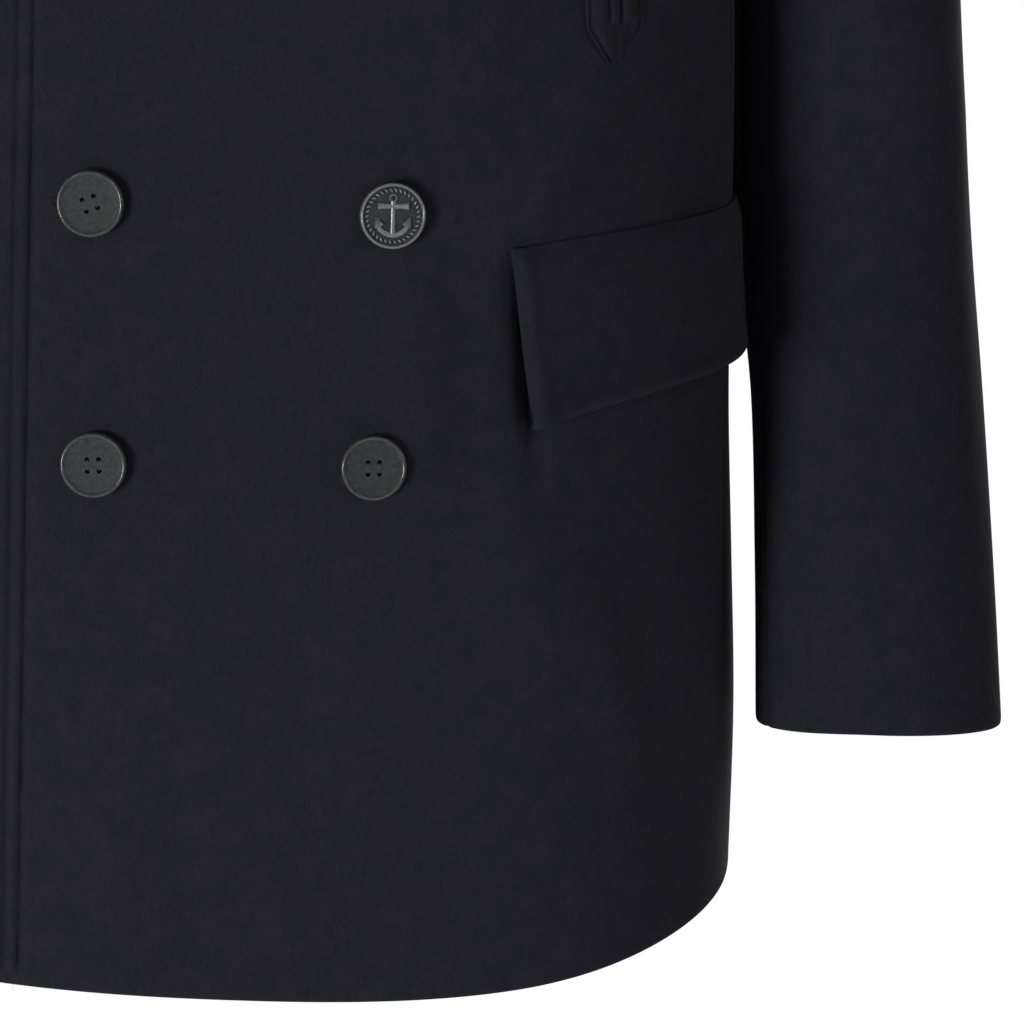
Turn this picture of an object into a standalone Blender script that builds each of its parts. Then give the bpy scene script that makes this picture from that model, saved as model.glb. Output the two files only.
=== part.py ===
"""A double-breasted pea coat, filled out as when it is worn, with nobody in it.

Axes: +Z up, the front faces -Y and the wearer's left is +X. The origin lies between the
shoulders, level with the sides of the neck. Sizes are in metres, angles in degrees.

The torso is one smooth form of level sections. A place on it is a level (0 hem, 1 underarm,
2 shoulder seam) and an angle round the section (0 centre, 90 side seam). Every cut piece is
a wall on that form, and what lies on a panel is made from the panel's points, moved out.
"""

import math
from collections import namedtuple

import bpy
import mathutils
import numpy as np

# ---------------------------------------------------------------- driving dimensions
CLOTH = 0.0024  # wall of one layer of heavy melton
SEAM_GAP = 0.0003  # between pieces at a seam
LAYER_GAP = 0.0004  # between layers that lie on each other
FACET_ROOM = 0.0013  # more room where flat facets span a rounded form
OVERLAP_GAP = 0.0012  # between the two fronts
OVERLAP_FADE = (0.010, 0.095)  # past the lower front's edge the upper one comes down again

HEM_Z = -0.780
UNDERARM_Z = -0.250
SHOULDER_X, SHOULDER_Z = 0.225, -0.045
SHOULDER_FLAT_X = 0.045  # the shoulder line starts to fall here
SHOULDER_FALL_POWER = 1.25
NECK_HALF, NECK_BACK = 0.080, 0.066
SECTION_POWER = 2.5  # superellipse power of the level sections
FRONT_RISE_POWER, BACK_RISE_POWER = 2.1, 2.4  # how squarely they round up to the shoulder

Ring = namedtuple("Ring", "z half_width front back")
TORSO_RINGS = (
    Ring(-0.780, 0.2229, 0.1460, 0.1260),
    Ring(-0.690, 0.2230, 0.1460, 0.1270),
    Ring(-0.620, 0.2200, 0.1455, 0.1265),
    Ring(-0.550, 0.2168, 0.1440, 0.1240),
    Ring(-0.450, 0.2158, 0.1420, 0.1200),
    Ring(-0.370, 0.2142, 0.1400, 0.1180),
    Ring(-0.250, 0.2070, 0.1380, 0.1240),
)
HEM_TILT, HEM_BOW, HEM_CORNER = -0.0098, 0.0089, 0.0195  # the hem's rise towards the sides
ARMHOLE_DIP = 0.026  # how far the armhole cuts in between underarm and shoulder
ARMHOLE_OPEN = 0.60  # its depth, as a share of the torso's depth at that level
ARMHOLE_ROUND = 0.45  # it reaches that share at this rise above the underarm

EDGE_AT_HEM, EDGE_LEAN = -0.1058, 0.0273  # the overlap's front edge, and its lean inwards
LOWER_ROWS, UPPER_ROWS = 12, 12
FRONT_COLUMNS = 16
BACK_NECK_COLUMNS, BACK_SIDE_COLUMNS = 5, 6
BREAK_ROW = 3  # the lapel turns back at this row above the underarm
RIGHT_LAPEL_SHOWS = 0.64  # the other lapel comes out from under the overlap here
ROLL_END_ROW, ROLL_END_X = 9, 0.066  # the roll line ends here, beside the neck
NOTCH_X, NOTCH_Z = 0.102, -0.066
LAPEL_TIP_X, LAPEL_TIP_Z = 0.146, -0.108
LAPEL_START, LAPEL_TIP_SHARE = 0.03, 0.66  # places along the roll line, 0 break, 1 neck
LAPEL_ROWS, LAPEL_TOP_ROWS = 9, 4
FOLD_POINTS = 5  # a lapel's first points go round the fold, the others lie flat
LAPEL_BELLY = 0.010  # the outer edge's bulge
ROLL_HEIGHT = 0.0046  # the fold stands this far off the panel
COLLAR_TIP_X, COLLAR_TIP_Z = 0.141, -0.060
COLLAR_ROLL_RADIUS = 0.0026
COLLAR_ROOM = 0.0020  # between the fall and the shoulders
STAND_GAP = 0.0018
STAND_LEAN = 0.10

Station = namedtuple("Station", "outer_x outer_z inner_x inner_z centre_y half_depth tilt")
SLEEVE_STATIONS = (
    Station(0.2250, -0.0450, 0.2070, -0.2500, 0.000, 0.0660, 0),
    Station(0.2400, -0.0490, 0.2125, -0.2515, 0.000, 0.0690, 0),
    Station(0.2640, -0.0660, 0.2150, -0.2570, 0.000, 0.0715, 0),
    Station(0.2840, -0.1010, 0.2154, -0.2690, 0.000, 0.0720, 0),
    Station(0.2972, -0.1560, 0.2154, -0.2870, 0.002, 0.0700, 0),
    Station(0.3053, -0.2250, 0.2154, -0.3120, 0.005, 0.0660, 0),
    Station(0.3110, -0.2950, 0.2160, -0.3440, 0.008, 0.0620, 0),
    Station(0.3168, -0.3700, 0.2172, -0.3850, 0.011, 0.0580, 1),
    Station(0.3253, -0.4600, 0.2202, -0.4580, 0.011, 0.0540, 3),
    Station(0.3322, -0.5500, 0.2280, -0.5440, -0.008, 0.0510, 6),
    Station(0.3364, -0.6250, 0.2296, -0.6180, -0.027, 0.0490, 7),
    Station(0.3400, -0.6910, 0.2304, -0.6890, -0.041, 0.0475, 7),
)
SLEEVE_ROWS = 17
FRONT_SLEEVE_SEAM, BACK_SLEEVE_SEAM = 165, 270  # angles round the sleeve, 0 outside, 90 front

NeckStation = namedtuple("NeckStation", "place neck_angle stand_height edge_x edge_y")
COLLAR_STATIONS = (  # from beyond the back centre to the left front end
    NeckStation(-0.20, -32, 0.0400, -0.050, 0.0920),
    NeckStation(0.00, 0, 0.0440, 0.000, 0.0970),
    NeckStation(0.20, 32, 0.0400, 0.050, 0.0920),
    NeckStation(0.40, 58, 0.0345, 0.097, 0.0700),
    NeckStation(0.60, 82, 0.0270, 0.131, 0.0290),
    NeckStation(0.80, 110, 0.0165, 0.147, -0.0280),
    NeckStation(1.00, 140, 0.0040, 0.143, -0.0830),
)
COLLAR_STEPS, FALL_STEPS = 11, 7

FLAP_CLOTH = 0.0030  # two layers turned and pressed
FLAP_TOP_Z, FLAP_FRONT_X = -0.4645, 0.1088
FLAP_HEIGHT, FLAP_LENGTH = 0.074, 0.170
FLAP_SLANT = 0.0076  # the front edge runs back by this much on its way down
FLAP_TOP_RISE, FLAP_LOW_RISE = 0.0065, 0.0125  # towards the side seam
FLAP_RISE_POWER = 3.5
FLAP_LIFT, FLAP_REAR_LIFT = 0.0062, 0.0052  # the lower edge stands off the panel

POCKET_TIP_X, POCKET_TIP_Z = 0.1525, -0.397
POCKET_LENGTH, POCKET_WIDTH, POCKET_LEAN = 0.160, 0.025, 0.010
POCKET_POINT = 0.020  # both ends narrow to a point over this length
POCKET_BLUNT = 0.06  # what is left of the width at the point
WeltPoint = namedtuple("WeltPoint", "across height height_at_end")
WELT_SECTION = (  # share of the half width, and the height of the band there
    WeltPoint(-1.00, 0.0010, 0.0010),
    WeltPoint(-0.62, 0.0012, 0.0012),
    WeltPoint(-0.30, 0.0021, 0.0012),
    WeltPoint(-0.06, 0.0010, 0.0012),
    WeltPoint(0.06, 0.0010, 0.0012),
    WeltPoint(0.30, 0.0021, 0.0012),
    WeltPoint(0.62, 0.0012, 0.0012),
    WeltPoint(1.00, 0.0010, 0.0010),
)
WELT_STEPS = 4  # rows between the two pointed ends

ButtonRow = namedtuple("ButtonRow", "left_x left_z right_x right_z")
BUTTON_ROWS = (  # on the overlap; the left column is towards the front edge
    ButtonRow(-0.0572, -0.5513, 0.0544, -0.5523),
    ButtonRow(-0.0576, -0.4458, 0.0611, -0.4499),
    ButtonRow(-0.0590, -0.3425, 0.0655, -0.3465),
    ButtonRow(-0.0600, -0.2410, 0.0680, -0.2440),
)
BUTTON_RADIUS, BUTTON_HEIGHT = 0.0134, 0.0046
SHANK_RADIUS, SHANK_HEIGHT = 0.0034, 0.0016

MELTON = ("melton", (0.018, 0.018, 0.028), 0.95, 0.0)
HORN = ("button_horn", (0.055, 0.055, 0.058), 0.45, 0.0)


# ---------------------------------------------------------------- small helpers
def spline(rows, knot, value):
    """A smooth function through one column of a table, read against another column."""
    t = np.array([getattr(row, knot) for row in rows], float)
    p = np.array([getattr(row, value) for row in rows], float)
    slope = np.gradient(p, t)

    def at(u):
        u = np.clip(u, t[0], t[-1])
        i = np.clip(np.searchsorted(t, u, side="right") - 1, 0, len(t) - 2)
        span = t[i + 1] - t[i]
        f = (u - t[i]) / span
        start = (1 + 2 * f) * (1 - f) ** 2 * p[i] + f * (1 - f) ** 2 * span * slope[i]
        end = f * f * (3 - 2 * f) * p[i + 1] + f * f * (f - 1) * span * slope[i + 1]
        return start + end

    return at


def ease(low, high, at):
    """0 below low, 1 above high and a smooth step between them."""
    f = np.clip((at - low) / (high - low), 0, 1)
    return f * f * (3 - 2 * f)


def unit(v):
    return v / np.linalg.norm(v, axis=-1, keepdims=True)


def lerp(a, b, f):
    return a + (b - a) * f


def mirrored(points):
    return points * np.array([-1.0, 1.0, 1.0])


# ---------------------------------------------------------------- the torso's form
ring_half = spline(TORSO_RINGS, "z", "half_width")
ring_front = spline(TORSO_RINGS, "z", "front")
ring_back = spline(TORSO_RINGS, "z", "back")
FRONT, BACK = -1, 1


def fall(x):
    reach = (SHOULDER_X - SHOULDER_FLAT_X) ** SHOULDER_FALL_POWER
    return np.maximum(np.abs(x) - SHOULDER_FLAT_X, 0) ** SHOULDER_FALL_POWER / reach


NECK_FALL = float(fall(NECK_HALF))
FALL_DEPTH = SHOULDER_Z / (NECK_FALL - 1)  # so that the line is at 0 beside the neck


def shoulder_line(x):
    return FALL_DEPTH * (NECK_FALL - fall(x))


def armhole_x(rise):
    straight = lerp(TORSO_RINGS[-1].half_width, SHOULDER_X, rise)
    return straight - ARMHOLE_DIP * 4 * rise * (1 - rise)


def armhole_share(rise):
    filled = np.minimum(rise / ARMHOLE_ROUND, 1)
    return ARMHOLE_OPEN * np.sqrt(filled * (2 - filled))


def half_width(level):
    """Half width of the whole level section, past the armhole where there is one."""
    if level <= 1:
        return ring_half(lerp(HEM_Z, UNDERARM_Z, level))
    closing = (1 - armhole_share(level - 1) ** SECTION_POWER) ** (1 / SECTION_POWER)
    return armhole_x(level - 1) / closing


def depth(level, face):
    if level <= 1:
        ring = ring_front if face == FRONT else ring_back
        return ring(lerp(HEM_Z, UNDERARM_Z, level))
    power = FRONT_RISE_POWER if face == FRONT else BACK_RISE_POWER
    full = TORSO_RINGS[-1].front if face == FRONT else TORSO_RINGS[-1].back
    return full * max(1 - (level - 1) ** power, 0) ** (1 / power)


def hem_rise(x, face, hand):
    """The hem runs on in one line from the overlap to the front beneath it."""
    share = hand * x / TORSO_RINGS[0].half_width
    if face == BACK:
        return (HEM_TILT + HEM_BOW + HEM_CORNER) * np.abs(share) ** 3
    return HEM_TILT * share + HEM_BOW * share**2 + HEM_CORNER * np.maximum(share, 0) ** 4


def height(x, level, face, hand=1):
    if level <= 1:
        return lerp(HEM_Z, UNDERARM_Z, level) + hem_rise(x, face, hand) * (1 - level) ** 3
    return lerp(UNDERARM_Z, shoulder_line(x), level - 1)


def torso(angle, level, face, hand=1):
    """The form's point at an angle and a level; x runs towards the piece's own side."""
    a = math.radians(angle)
    half, deep = half_width(level), depth(level, face)
    power = 2 / SECTION_POWER
    x = half * math.copysign(abs(math.sin(a)) ** power, a)
    y = face * deep * abs(math.cos(a)) ** power
    return np.array([x, y, height(x, level, face, hand)])


def torso_out(angle, level, face):
    """The form's outward normal."""
    step, rise = 0.05, 1e-4
    a0, a1 = max(angle - step, -90), min(angle + step, 90)
    l0, l1 = max(level - rise, 0), min(level + rise, 2)
    across = torso(a1, level, face) - torso(a0, level, face)
    up = torso(angle, l1, face) - torso(angle, l0, face)
    return unit(np.cross(across, up)) * -face


def angle_at(x, level):
    share = min(abs(x) / half_width(level), 1)
    return math.copysign(math.degrees(math.asin(share ** (SECTION_POWER / 2))), x)


def level_at(x, z, face, hand=1):
    if z >= UNDERARM_Z:
        return 1 + (z - UNDERARM_Z) / (shoulder_line(x) - UNDERARM_Z)
    level = 0.5
    for _ in range(8):
        straight = z - hem_rise(x, face, hand) * (1 - level) ** 3
        level = min(max((straight - HEM_Z) / (UNDERARM_Z - HEM_Z), 0), 1)
    return level


def end_angle(level):
    """Where a panel ends: the side seam, or above the underarm the armhole."""
    if level <= 1:
        return 90.0
    return angle_at(armhole_x(level - 1), level)


def spread(level, face, start, end, count):
    """Angles that part the section between two angles into equal lengths."""
    fine = np.linspace(start, end, 81)
    line = np.array([torso(a, level, face) for a in fine])
    walked = np.concatenate([[0], np.cumsum(np.linalg.norm(np.diff(line, axis=0), axis=1))])
    return np.interp(np.linspace(0, walked[-1], count + 1), walked, fine)


def arm_angle(row):
    """The angle round the armhole, 180 at the underarm and 0 at the shoulder."""
    return 180 * (1 - row / UPPER_ROWS)


def upper_level(row):
    return 1 + (1 + math.cos(math.radians(arm_angle(row)))) / 2


LEVELS = [row / LOWER_ROWS for row in range(LOWER_ROWS)]
LEVELS += [upper_level(row) for row in range(UPPER_ROWS + 1)]


# ---------------------------------------------------------------- front edge and roll line
def edge_x(z):
    return EDGE_AT_HEM + EDGE_LEAN * (z - HEM_Z)


BREAK_LEVEL = upper_level(BREAK_ROW)
BREAK_Z = lerp(UNDERARM_Z, float(shoulder_line(0)), BREAK_LEVEL - 1)
BREAK_X = edge_x(BREAK_Z)
ROLL_END_LEVEL = upper_level(ROLL_END_ROW)
ROLL_END_Z = float(height(ROLL_END_X, ROLL_END_LEVEL, FRONT))


def roll_x(z):
    return lerp(BREAK_X, ROLL_END_X, (z - BREAK_Z) / (ROLL_END_Z - BREAK_Z))


def inner_x(level):
    """Where a front panel starts at a level: front edge, roll line or neckline."""
    if level >= ROLL_END_LEVEL:
        return lerp(ROLL_END_X, NECK_HALF, (level - ROLL_END_LEVEL) / (2 - ROLL_END_LEVEL))
    x = 0.0
    for _ in range(8):
        z = float(height(x, level, FRONT))
        x = roll_x(z) if z > BREAK_Z else edge_x(z)
    return x


def overlap_lift(x, z):
    """How far the left front lies off the form, to clear the right front and its lapel."""
    own_edge = np.where(z > BREAK_Z, roll_x(z), edge_x(z))
    fade = 1 - ease(*OVERLAP_FADE, x + own_edge)
    on_lapel = ease(BREAK_Z - 0.022, BREAK_Z - 0.002, z)
    lapel_layer = CLOTH + LAYER_GAP + FACET_ROOM
    return fade * (CLOTH + OVERLAP_GAP + lapel_layer * on_lapel)


def panel_point(x, z, hand):
    """(point, outward) on the outer skin of a front at x and z; hand is 1 left, -1 right.

    x is measured towards the piece's own side seam, so both fronts use the same numbers."""
    level = level_at(x, z, FRONT, hand)
    angle = angle_at(x, level)
    point, out = torso(angle, level, FRONT, hand), torso_out(angle, level, FRONT)
    if hand == 1:
        return point + out * overlap_lift(x, z), out
    return mirrored(point), mirrored(out)


# ---------------------------------------------------------------- walls
def wall(name, outer, inner, material):
    """A closed wall between two skins, each an array of rows of points."""
    rows, columns = outer.shape[:2]
    size = rows * columns
    index = np.arange(size).reshape(rows, columns)
    faces = []
    for r in range(rows - 1):
        for c in range(columns - 1):
            quad = [index[r, c], index[r, c + 1], index[r + 1, c + 1], index[r + 1, c]]
            faces.append(quad)
            faces.append([corner + size for corner in reversed(quad)])
    rim = list(index[0, :]) + list(index[1:, -1]) + list(index[-1, -2::-1])
    rim += list(index[-2:0:-1, 0])
    for a, b in zip(rim, rim[1:] + rim[:1]):
        faces.append([b, a, a + size, b + size])
    points = np.concatenate([outer.reshape(-1, 3), inner.reshape(-1, 3)])
    middle = outer[1:, 1:] - outer[:-1, :-1]
    other = outer[1:, :-1] - outer[:-1, 1:]
    facing = np.cross(middle, other) * (outer - inner)[:-1, :-1]
    if facing.sum() < 0:
        faces = [face[::-1] for face in faces]
    return add_mesh(name, points, faces, material)


def add_mesh(name, points, faces, material):
    mesh = bpy.data.meshes.new(name)
    mesh.from_pydata([tuple(map(float, p)) for p in points], [], [list(map(int, f)) for f in faces])
    mesh.validate()
    return add_object(name, mesh, material)


def add_object(name, mesh, material):
    mesh.materials.append(material)
    mesh.shade_smooth()
    mesh.set_sharp_from_angle(angle=math.radians(40))
    piece = bpy.data.objects.new(name, mesh)
    COAT.objects.link(piece)
    return piece


def inset(points, side):
    """Draws one side of a grid back along the cloth by half the seam gap."""
    edge, beside = {
        "first_row": (points[0], points[1]),
        "last_row": (points[-1], points[-2]),
        "first_column": (points[:, 0], points[:, 1]),
        "last_column": (points[:, -1], points[:, -2]),
    }[side]
    back = beside - edge
    along = unit(np.gradient(edge, axis=0))
    back -= (back * along).sum(axis=-1, keepdims=True) * along
    edge += unit(back) * SEAM_GAP / 2


def make_material(name, colour, roughness, metallic):
    material = bpy.data.materials.new(name)
    material.use_nodes = True
    shader = material.node_tree.nodes["Principled BSDF"]
    shader.inputs["Base Color"].default_value = (*colour, 1)
    shader.inputs["Roughness"].default_value = roughness
    shader.inputs["Metallic"].default_value = metallic
    return material


# ---------------------------------------------------------------- sleeves
def station_curve(value):
    numbered = [(place, *row) for place, row in enumerate(SLEEVE_STATIONS)]
    Numbered = namedtuple("Numbered", ("place",) + Station._fields)
    return spline([Numbered(*row) for row in numbered], "place", value)


sleeve_curves = {value: station_curve(value) for value in Station._fields}
LAST_STATION = len(SLEEVE_STATIONS) - 1


def sleeve_ring(angle, place):
    """A plain oval station of the left sleeve."""
    s = {value: float(curve(place)) for value, curve in sleeve_curves.items()}
    a, tilt = math.radians(angle), math.radians(s["tilt"])
    outer = np.array([s["outer_x"], s["centre_y"], s["outer_z"]])
    inner = np.array([s["inner_x"], s["centre_y"], s["inner_z"]])
    forward = np.array([0, -math.cos(tilt), math.sin(tilt)])
    centre, reach = (outer + inner) / 2, (outer - inner) / 2
    return centre + reach * math.cos(a) + forward * s["half_depth"] * math.sin(a)


def armhole(angle):
    """The armhole's line on the torso, 0 at the shoulder, 90 in front and 180 below."""
    rise = (1 + math.cos(math.radians(angle))) / 2
    face = FRONT if math.sin(math.radians(angle)) >= 0 else BACK
    level = 1 + rise
    return torso(end_angle(level), level, face)


def sleeve(angle, place):
    """The left sleeve's outer skin: it starts as the armhole and soon becomes oval."""
    left_over = armhole(angle) - sleeve_ring(angle, 0)
    return sleeve_ring(angle, place) + left_over * (1 - ease(0, 3.5, place))


def sleeve_out(angle, place):
    low, high = max(place - 0.02, 0), min(place + 0.02, LAST_STATION)
    along = sleeve(angle, high) - sleeve(angle, low)
    round_it = sleeve(angle + 1, place) - sleeve(angle - 1, place)
    return unit(np.cross(round_it, along))


def armhole_mitre(angle):
    """Where the wall's inner edge lies from its outer edge, shared by body and sleeve."""
    rise = (1 + math.cos(math.radians(angle))) / 2
    face = FRONT if math.sin(math.radians(angle)) >= 0 else BACK
    body = torso_out(end_angle(1 + rise), 1 + rise, face)
    arm = sleeve_out(angle, 0.15)
    middle = unit(body + arm)
    return middle / max(float(middle @ body), 0.5)


def make_sleeve(name, start, end, hand):
    """One cut piece of a sleeve, between two angles round it."""
    step = 180 // UPPER_ROWS
    angles = list(range(start, end + 1, step))
    places = [LAST_STATION * (row / SLEEVE_ROWS) ** 1.15 for row in range(SLEEVE_ROWS + 1)]
    outer = np.array([[sleeve(a, p) for a in angles] for p in places])
    out = np.array([[sleeve_out(a, p) for a in angles] for p in places])
    out[0] = [armhole_mitre(a) for a in angles]
    for side in ("first_row", "first_column", "last_column"):
        inset(outer, side)
    inner = outer - out * CLOTH
    if hand == -1:
        outer, inner = mirrored(outer), mirrored(inner)
    wall(name, outer, inner, melton)


# ---------------------------------------------------------------- torso panels
def make_front(name, hand):
    outer, out = [], []
    for row, level in enumerate(LEVELS):
        start = angle_at(inner_x(level), level)
        angles = spread(level, FRONT, start, end_angle(level), FRONT_COLUMNS)
        points = np.array([torso(a, level, FRONT, hand) for a in angles])
        outward = np.array([torso_out(a, level, FRONT) for a in angles])
        if hand == 1:
            points += outward * overlap_lift(points[:, :1], points[:, 2:])
        if level > 1:
            outward[-1] = armhole_mitre(arm_angle(row - LOWER_ROWS))
        outer.append(points)
        out.append(outward)
    finish_panel(name, np.array(outer), np.array(out), hand)


def neck_share(x):
    """How much of the rise to the shoulder line a back column has below the neckline."""
    if x >= NECK_HALF:
        return 1.0
    y = NECK_BACK * math.sqrt(1 - (x / NECK_HALF) ** 2)
    across = 1.0
    for _ in range(8):
        rise = (1 - (y / (TORSO_RINGS[-1].back * across)) ** BACK_RISE_POWER)
        rise = rise ** (1 / BACK_RISE_POWER)
        across = (1 - (x / half_width(1 + rise)) ** SECTION_POWER) ** (1 / SECTION_POWER)
    return rise


def back_point(x_share, level):
    """(point, outward) of a back column; up to 1 the share runs to the neck's side."""
    beside_neck = angle_at(NECK_HALF, level)
    if x_share <= 1:
        x = NECK_HALF * x_share
        if level > 1:
            level = 1 + (level - 1) * neck_share(x)
        angle = angle_at(x, level)
    else:
        angles = spread(level, BACK, beside_neck, end_angle(level), BACK_SIDE_COLUMNS)
        angle = angles[round((x_share - 1) * BACK_SIDE_COLUMNS)]
    return torso(angle, level, BACK), torso_out(angle, level, BACK)


def make_back(name, hand):
    turns = np.linspace(0, math.pi / 2, BACK_NECK_COLUMNS + 1)
    shares = list(np.sin(turns))
    shares += [1 + (c + 1) / BACK_SIDE_COLUMNS for c in range(BACK_SIDE_COLUMNS)]
    outer, out = [], []
    for row, level in enumerate(LEVELS):
        pairs = [back_point(share, level) for share in shares]
        outer.append([point for point, _ in pairs])
        out.append([outward for _, outward in pairs])
        if level > 1:
            out[-1][-1] = armhole_mitre(-arm_angle(row - LOWER_ROWS))
    outer, out = np.array(outer), np.array(out)
    inset(outer, "first_column")
    finish_panel(name, outer, out, hand)


def finish_panel(name, outer, out, hand):
    inset(outer, "last_column")
    inset(outer, "last_row")
    inner = outer - out * CLOTH
    if hand == -1:
        outer, inner = mirrored(outer), mirrored(inner)
    wall(name, outer, inner, melton)


# ---------------------------------------------------------------- lapels and collar
def roll_profile(bulge):
    """(across, off the panel) of a fold's middle line, from under the panel's edge."""
    clear = SEAM_GAP + CLOTH / 2
    flat = LAYER_GAP + FACET_ROOM + CLOTH / 2
    top = lerp(flat, ROLL_HEIGHT, bulge)
    return (
        (-clear, -CLOTH / 2),
        (-clear - 0.0010, top * 0.25),
        (-clear - 0.0006, top * 0.70),
        (-0.0002, top),
        (0.0040, top),
        (0.0110, lerp(flat, top, 0.45)),
        (0.0200, flat),
    )


def lapel_outline(place):
    """(x, z) of the outer edge drawn from a place along the roll line, 0 break, 1 neck."""
    if place <= LAPEL_TIP_SHARE:
        f = place / LAPEL_TIP_SHARE
        x, z = lerp(BREAK_X, LAPEL_TIP_X, f), lerp(BREAK_Z, LAPEL_TIP_Z, f)
        return x, z - LAPEL_BELLY * math.sin(math.pi * f) * 0.8
    f = (place - LAPEL_TIP_SHARE) / (1 - LAPEL_TIP_SHARE)
    return lerp(LAPEL_TIP_X, NOTCH_X, f), lerp(LAPEL_TIP_Z, NOTCH_Z, f)


def fold_row(place, hand):
    """Middle-line points of a lapel across its width, at a place along the roll line."""
    z = lerp(BREAK_Z, ROLL_END_Z, place)
    x = roll_x(z)
    end_x, end_z = lapel_outline(place)
    width = math.hypot(end_x - x, end_z - z)
    hidden = 0.0 if hand == 1 else RIGHT_LAPEL_SHOWS
    profile = roll_profile(ease(hidden, hidden + 0.2, place))
    fit = min(1, 0.5 * width / profile[-1][0])
    walk = [(across * (fit if across > 0 else 1) / width, off) for across, off in profile]
    flat = walk[-1]
    walk += [(lerp(flat[0], 1, share), flat[1]) for share in (0.25, 0.5, 0.75, 1.0)]
    line, out = [], []
    for f, off in walk:
        point, outward = panel_point(lerp(x, end_x, f), lerp(z, end_z, f), hand)
        line.append(point + outward * off)
        out.append(outward * CLOTH / 2)
    return line, out


def make_lapel(name, hand):
    to_tip = np.linspace(LAPEL_START, LAPEL_TIP_SHARE, LAPEL_ROWS)
    places = np.concatenate([to_tip, np.linspace(LAPEL_TIP_SHARE, 1, LAPEL_TOP_ROWS + 1)[1:]])
    middle, panel_out = np.array([fold_row(place, hand) for place in places]).swapaxes(0, 1)
    out = fold_out(middle) * hand
    out[:, FOLD_POINTS:] = panel_out[:, FOLD_POINTS:]
    gorge = middle[-1].copy(), out[-1]
    inset(middle, "last_row")
    wall(name, middle + out, middle - out, melton)
    return gorge


def fold_out(middle):
    """Half a wall's thickness, squarely off a grid of middle-line points."""
    along = np.gradient(middle, axis=1)
    beside = np.gradient(middle, axis=0)
    return unit(np.cross(along, beside)) * CLOTH / 2


def neck_edge(angle):
    """(point, outward, into the neck) on the panels' neckline, 0 at the back centre."""
    if angle <= 90:
        x = NECK_HALF * math.sin(math.radians(angle))
        level = 1 + neck_share(x)
        point, out = torso(angle_at(x, level), level, BACK), np.array([0, 0, 1.0])
        inward = -np.array([math.sin(math.radians(angle)), math.cos(math.radians(angle)), 0])
        return point, unit(out), inward
    f = (angle - 90) / (COLLAR_STATIONS[-1].neck_angle - 90)
    level = lerp(2, ROLL_END_LEVEL, f)
    x = inner_x(level)
    point = torso(angle_at(x, level), level, FRONT)
    out = unit(lerp(np.array([0, 0, 1.0]), torso_out(angle_at(x, level), level, FRONT), f))
    return point, out, unit(np.array([-1.0, 0.0, lerp(0, -0.25, f)]))


def top_point(x, y):
    """(point, outward) of the form seen from above, near the shoulder line."""
    face = BACK if y > 0 else FRONT
    power = BACK_RISE_POWER if face == BACK else FRONT_RISE_POWER
    full = TORSO_RINGS[-1].back if face == BACK else TORSO_RINGS[-1].front
    rise = 0.8
    for _ in range(12):
        share = min(abs(x) / half_width(1 + rise), 0.999)
        across = (1 - share**SECTION_POWER) ** (1 / SECTION_POWER)
        rise = max(1 - min(abs(y) / (full * across), 1) ** power, 0) ** (1 / power)
    level = 1 + rise
    angle = angle_at(x, level)
    return torso(angle, level, face), torso_out(angle, min(level, 1.9999), face)


def collar_line(place):
    """Middle-line points of the collar at one place, from the neck seam to the outer edge."""
    seam, up, inward = neck_edge(float(collar_curves["neck_angle"](place)))
    stand = float(collar_curves["stand_height"](place))
    up = unit(up + inward * STAND_LEAN)
    start = seam + inward * (STAND_GAP + CLOTH / 2) - up * CLOTH / 2
    top = start + up * (stand + CLOTH)
    line = [start, lerp(start, top, 0.5), top]
    for turn in (120, 60, 0):
        a = math.radians(turn)
        line.append(top + (up * math.sin(a) - inward * (1 + math.cos(a))) * COLLAR_ROLL_RADIUS)
    edge, edge_out = top_point(*[float(collar_curves[value](place)) for value in ("edge_x", "edge_y")])
    rest = LAYER_GAP + COLLAR_ROOM + CLOTH / 2
    begin, end = line[-1], edge + edge_out * rest
    bend = lerp(begin, end, 0.45)
    bend[2] = lerp(begin[2], end[2], 0.20)
    for step in range(1, FALL_STEPS + 1):
        f = step / FALL_STEPS
        point = lerp(lerp(begin, bend, f), lerp(bend, end, f), f)
        form, form_out = top_point(point[0], point[1])
        above = float((point - form) @ form_out)
        line.append(point + form_out * max(rest - above, 0))
    return line


collar_curves = {
    value: spline(COLLAR_STATIONS, "place", value) for value in NeckStation._fields[1:]
}


def collar_end(gorge, hand):
    """The end row: it follows the lapel's own end to the notch, then runs to the tip."""
    rest = LAYER_GAP + FACET_ROOM + CLOTH / 2
    line, out = list(gorge[0]), list(gorge[1])
    for f in (0.5, 1):
        x, z = lerp(NOTCH_X, COLLAR_TIP_X, f), lerp(NOTCH_Z, COLLAR_TIP_Z, f)
        point, outward = panel_point(x, z, hand)
        line.append(point + outward * rest)
        out.append(outward * CLOTH / 2)
    return line, out


def make_collar(name, gorges):
    """The stand and the fall in one piece, from the right lapel to the left one."""
    half = np.array([collar_line(step / COLLAR_STEPS) for step in range(COLLAR_STEPS)])
    ends = {hand: collar_end(gorges[hand], hand) for hand in (1, -1)}
    middle = np.concatenate([[ends[-1][0]], mirrored(half[:0:-1]), half, [ends[1][0]]])
    out = fold_out(middle)
    out[0], out[-1] = ends[-1][1], ends[1][1]
    flip = np.sign((out[-2] * out[-1]).sum())
    out[1:-1] *= flip
    inset(middle, "first_row")
    inset(middle, "last_row")
    wall(name, middle + out, middle - out, melton)


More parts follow.
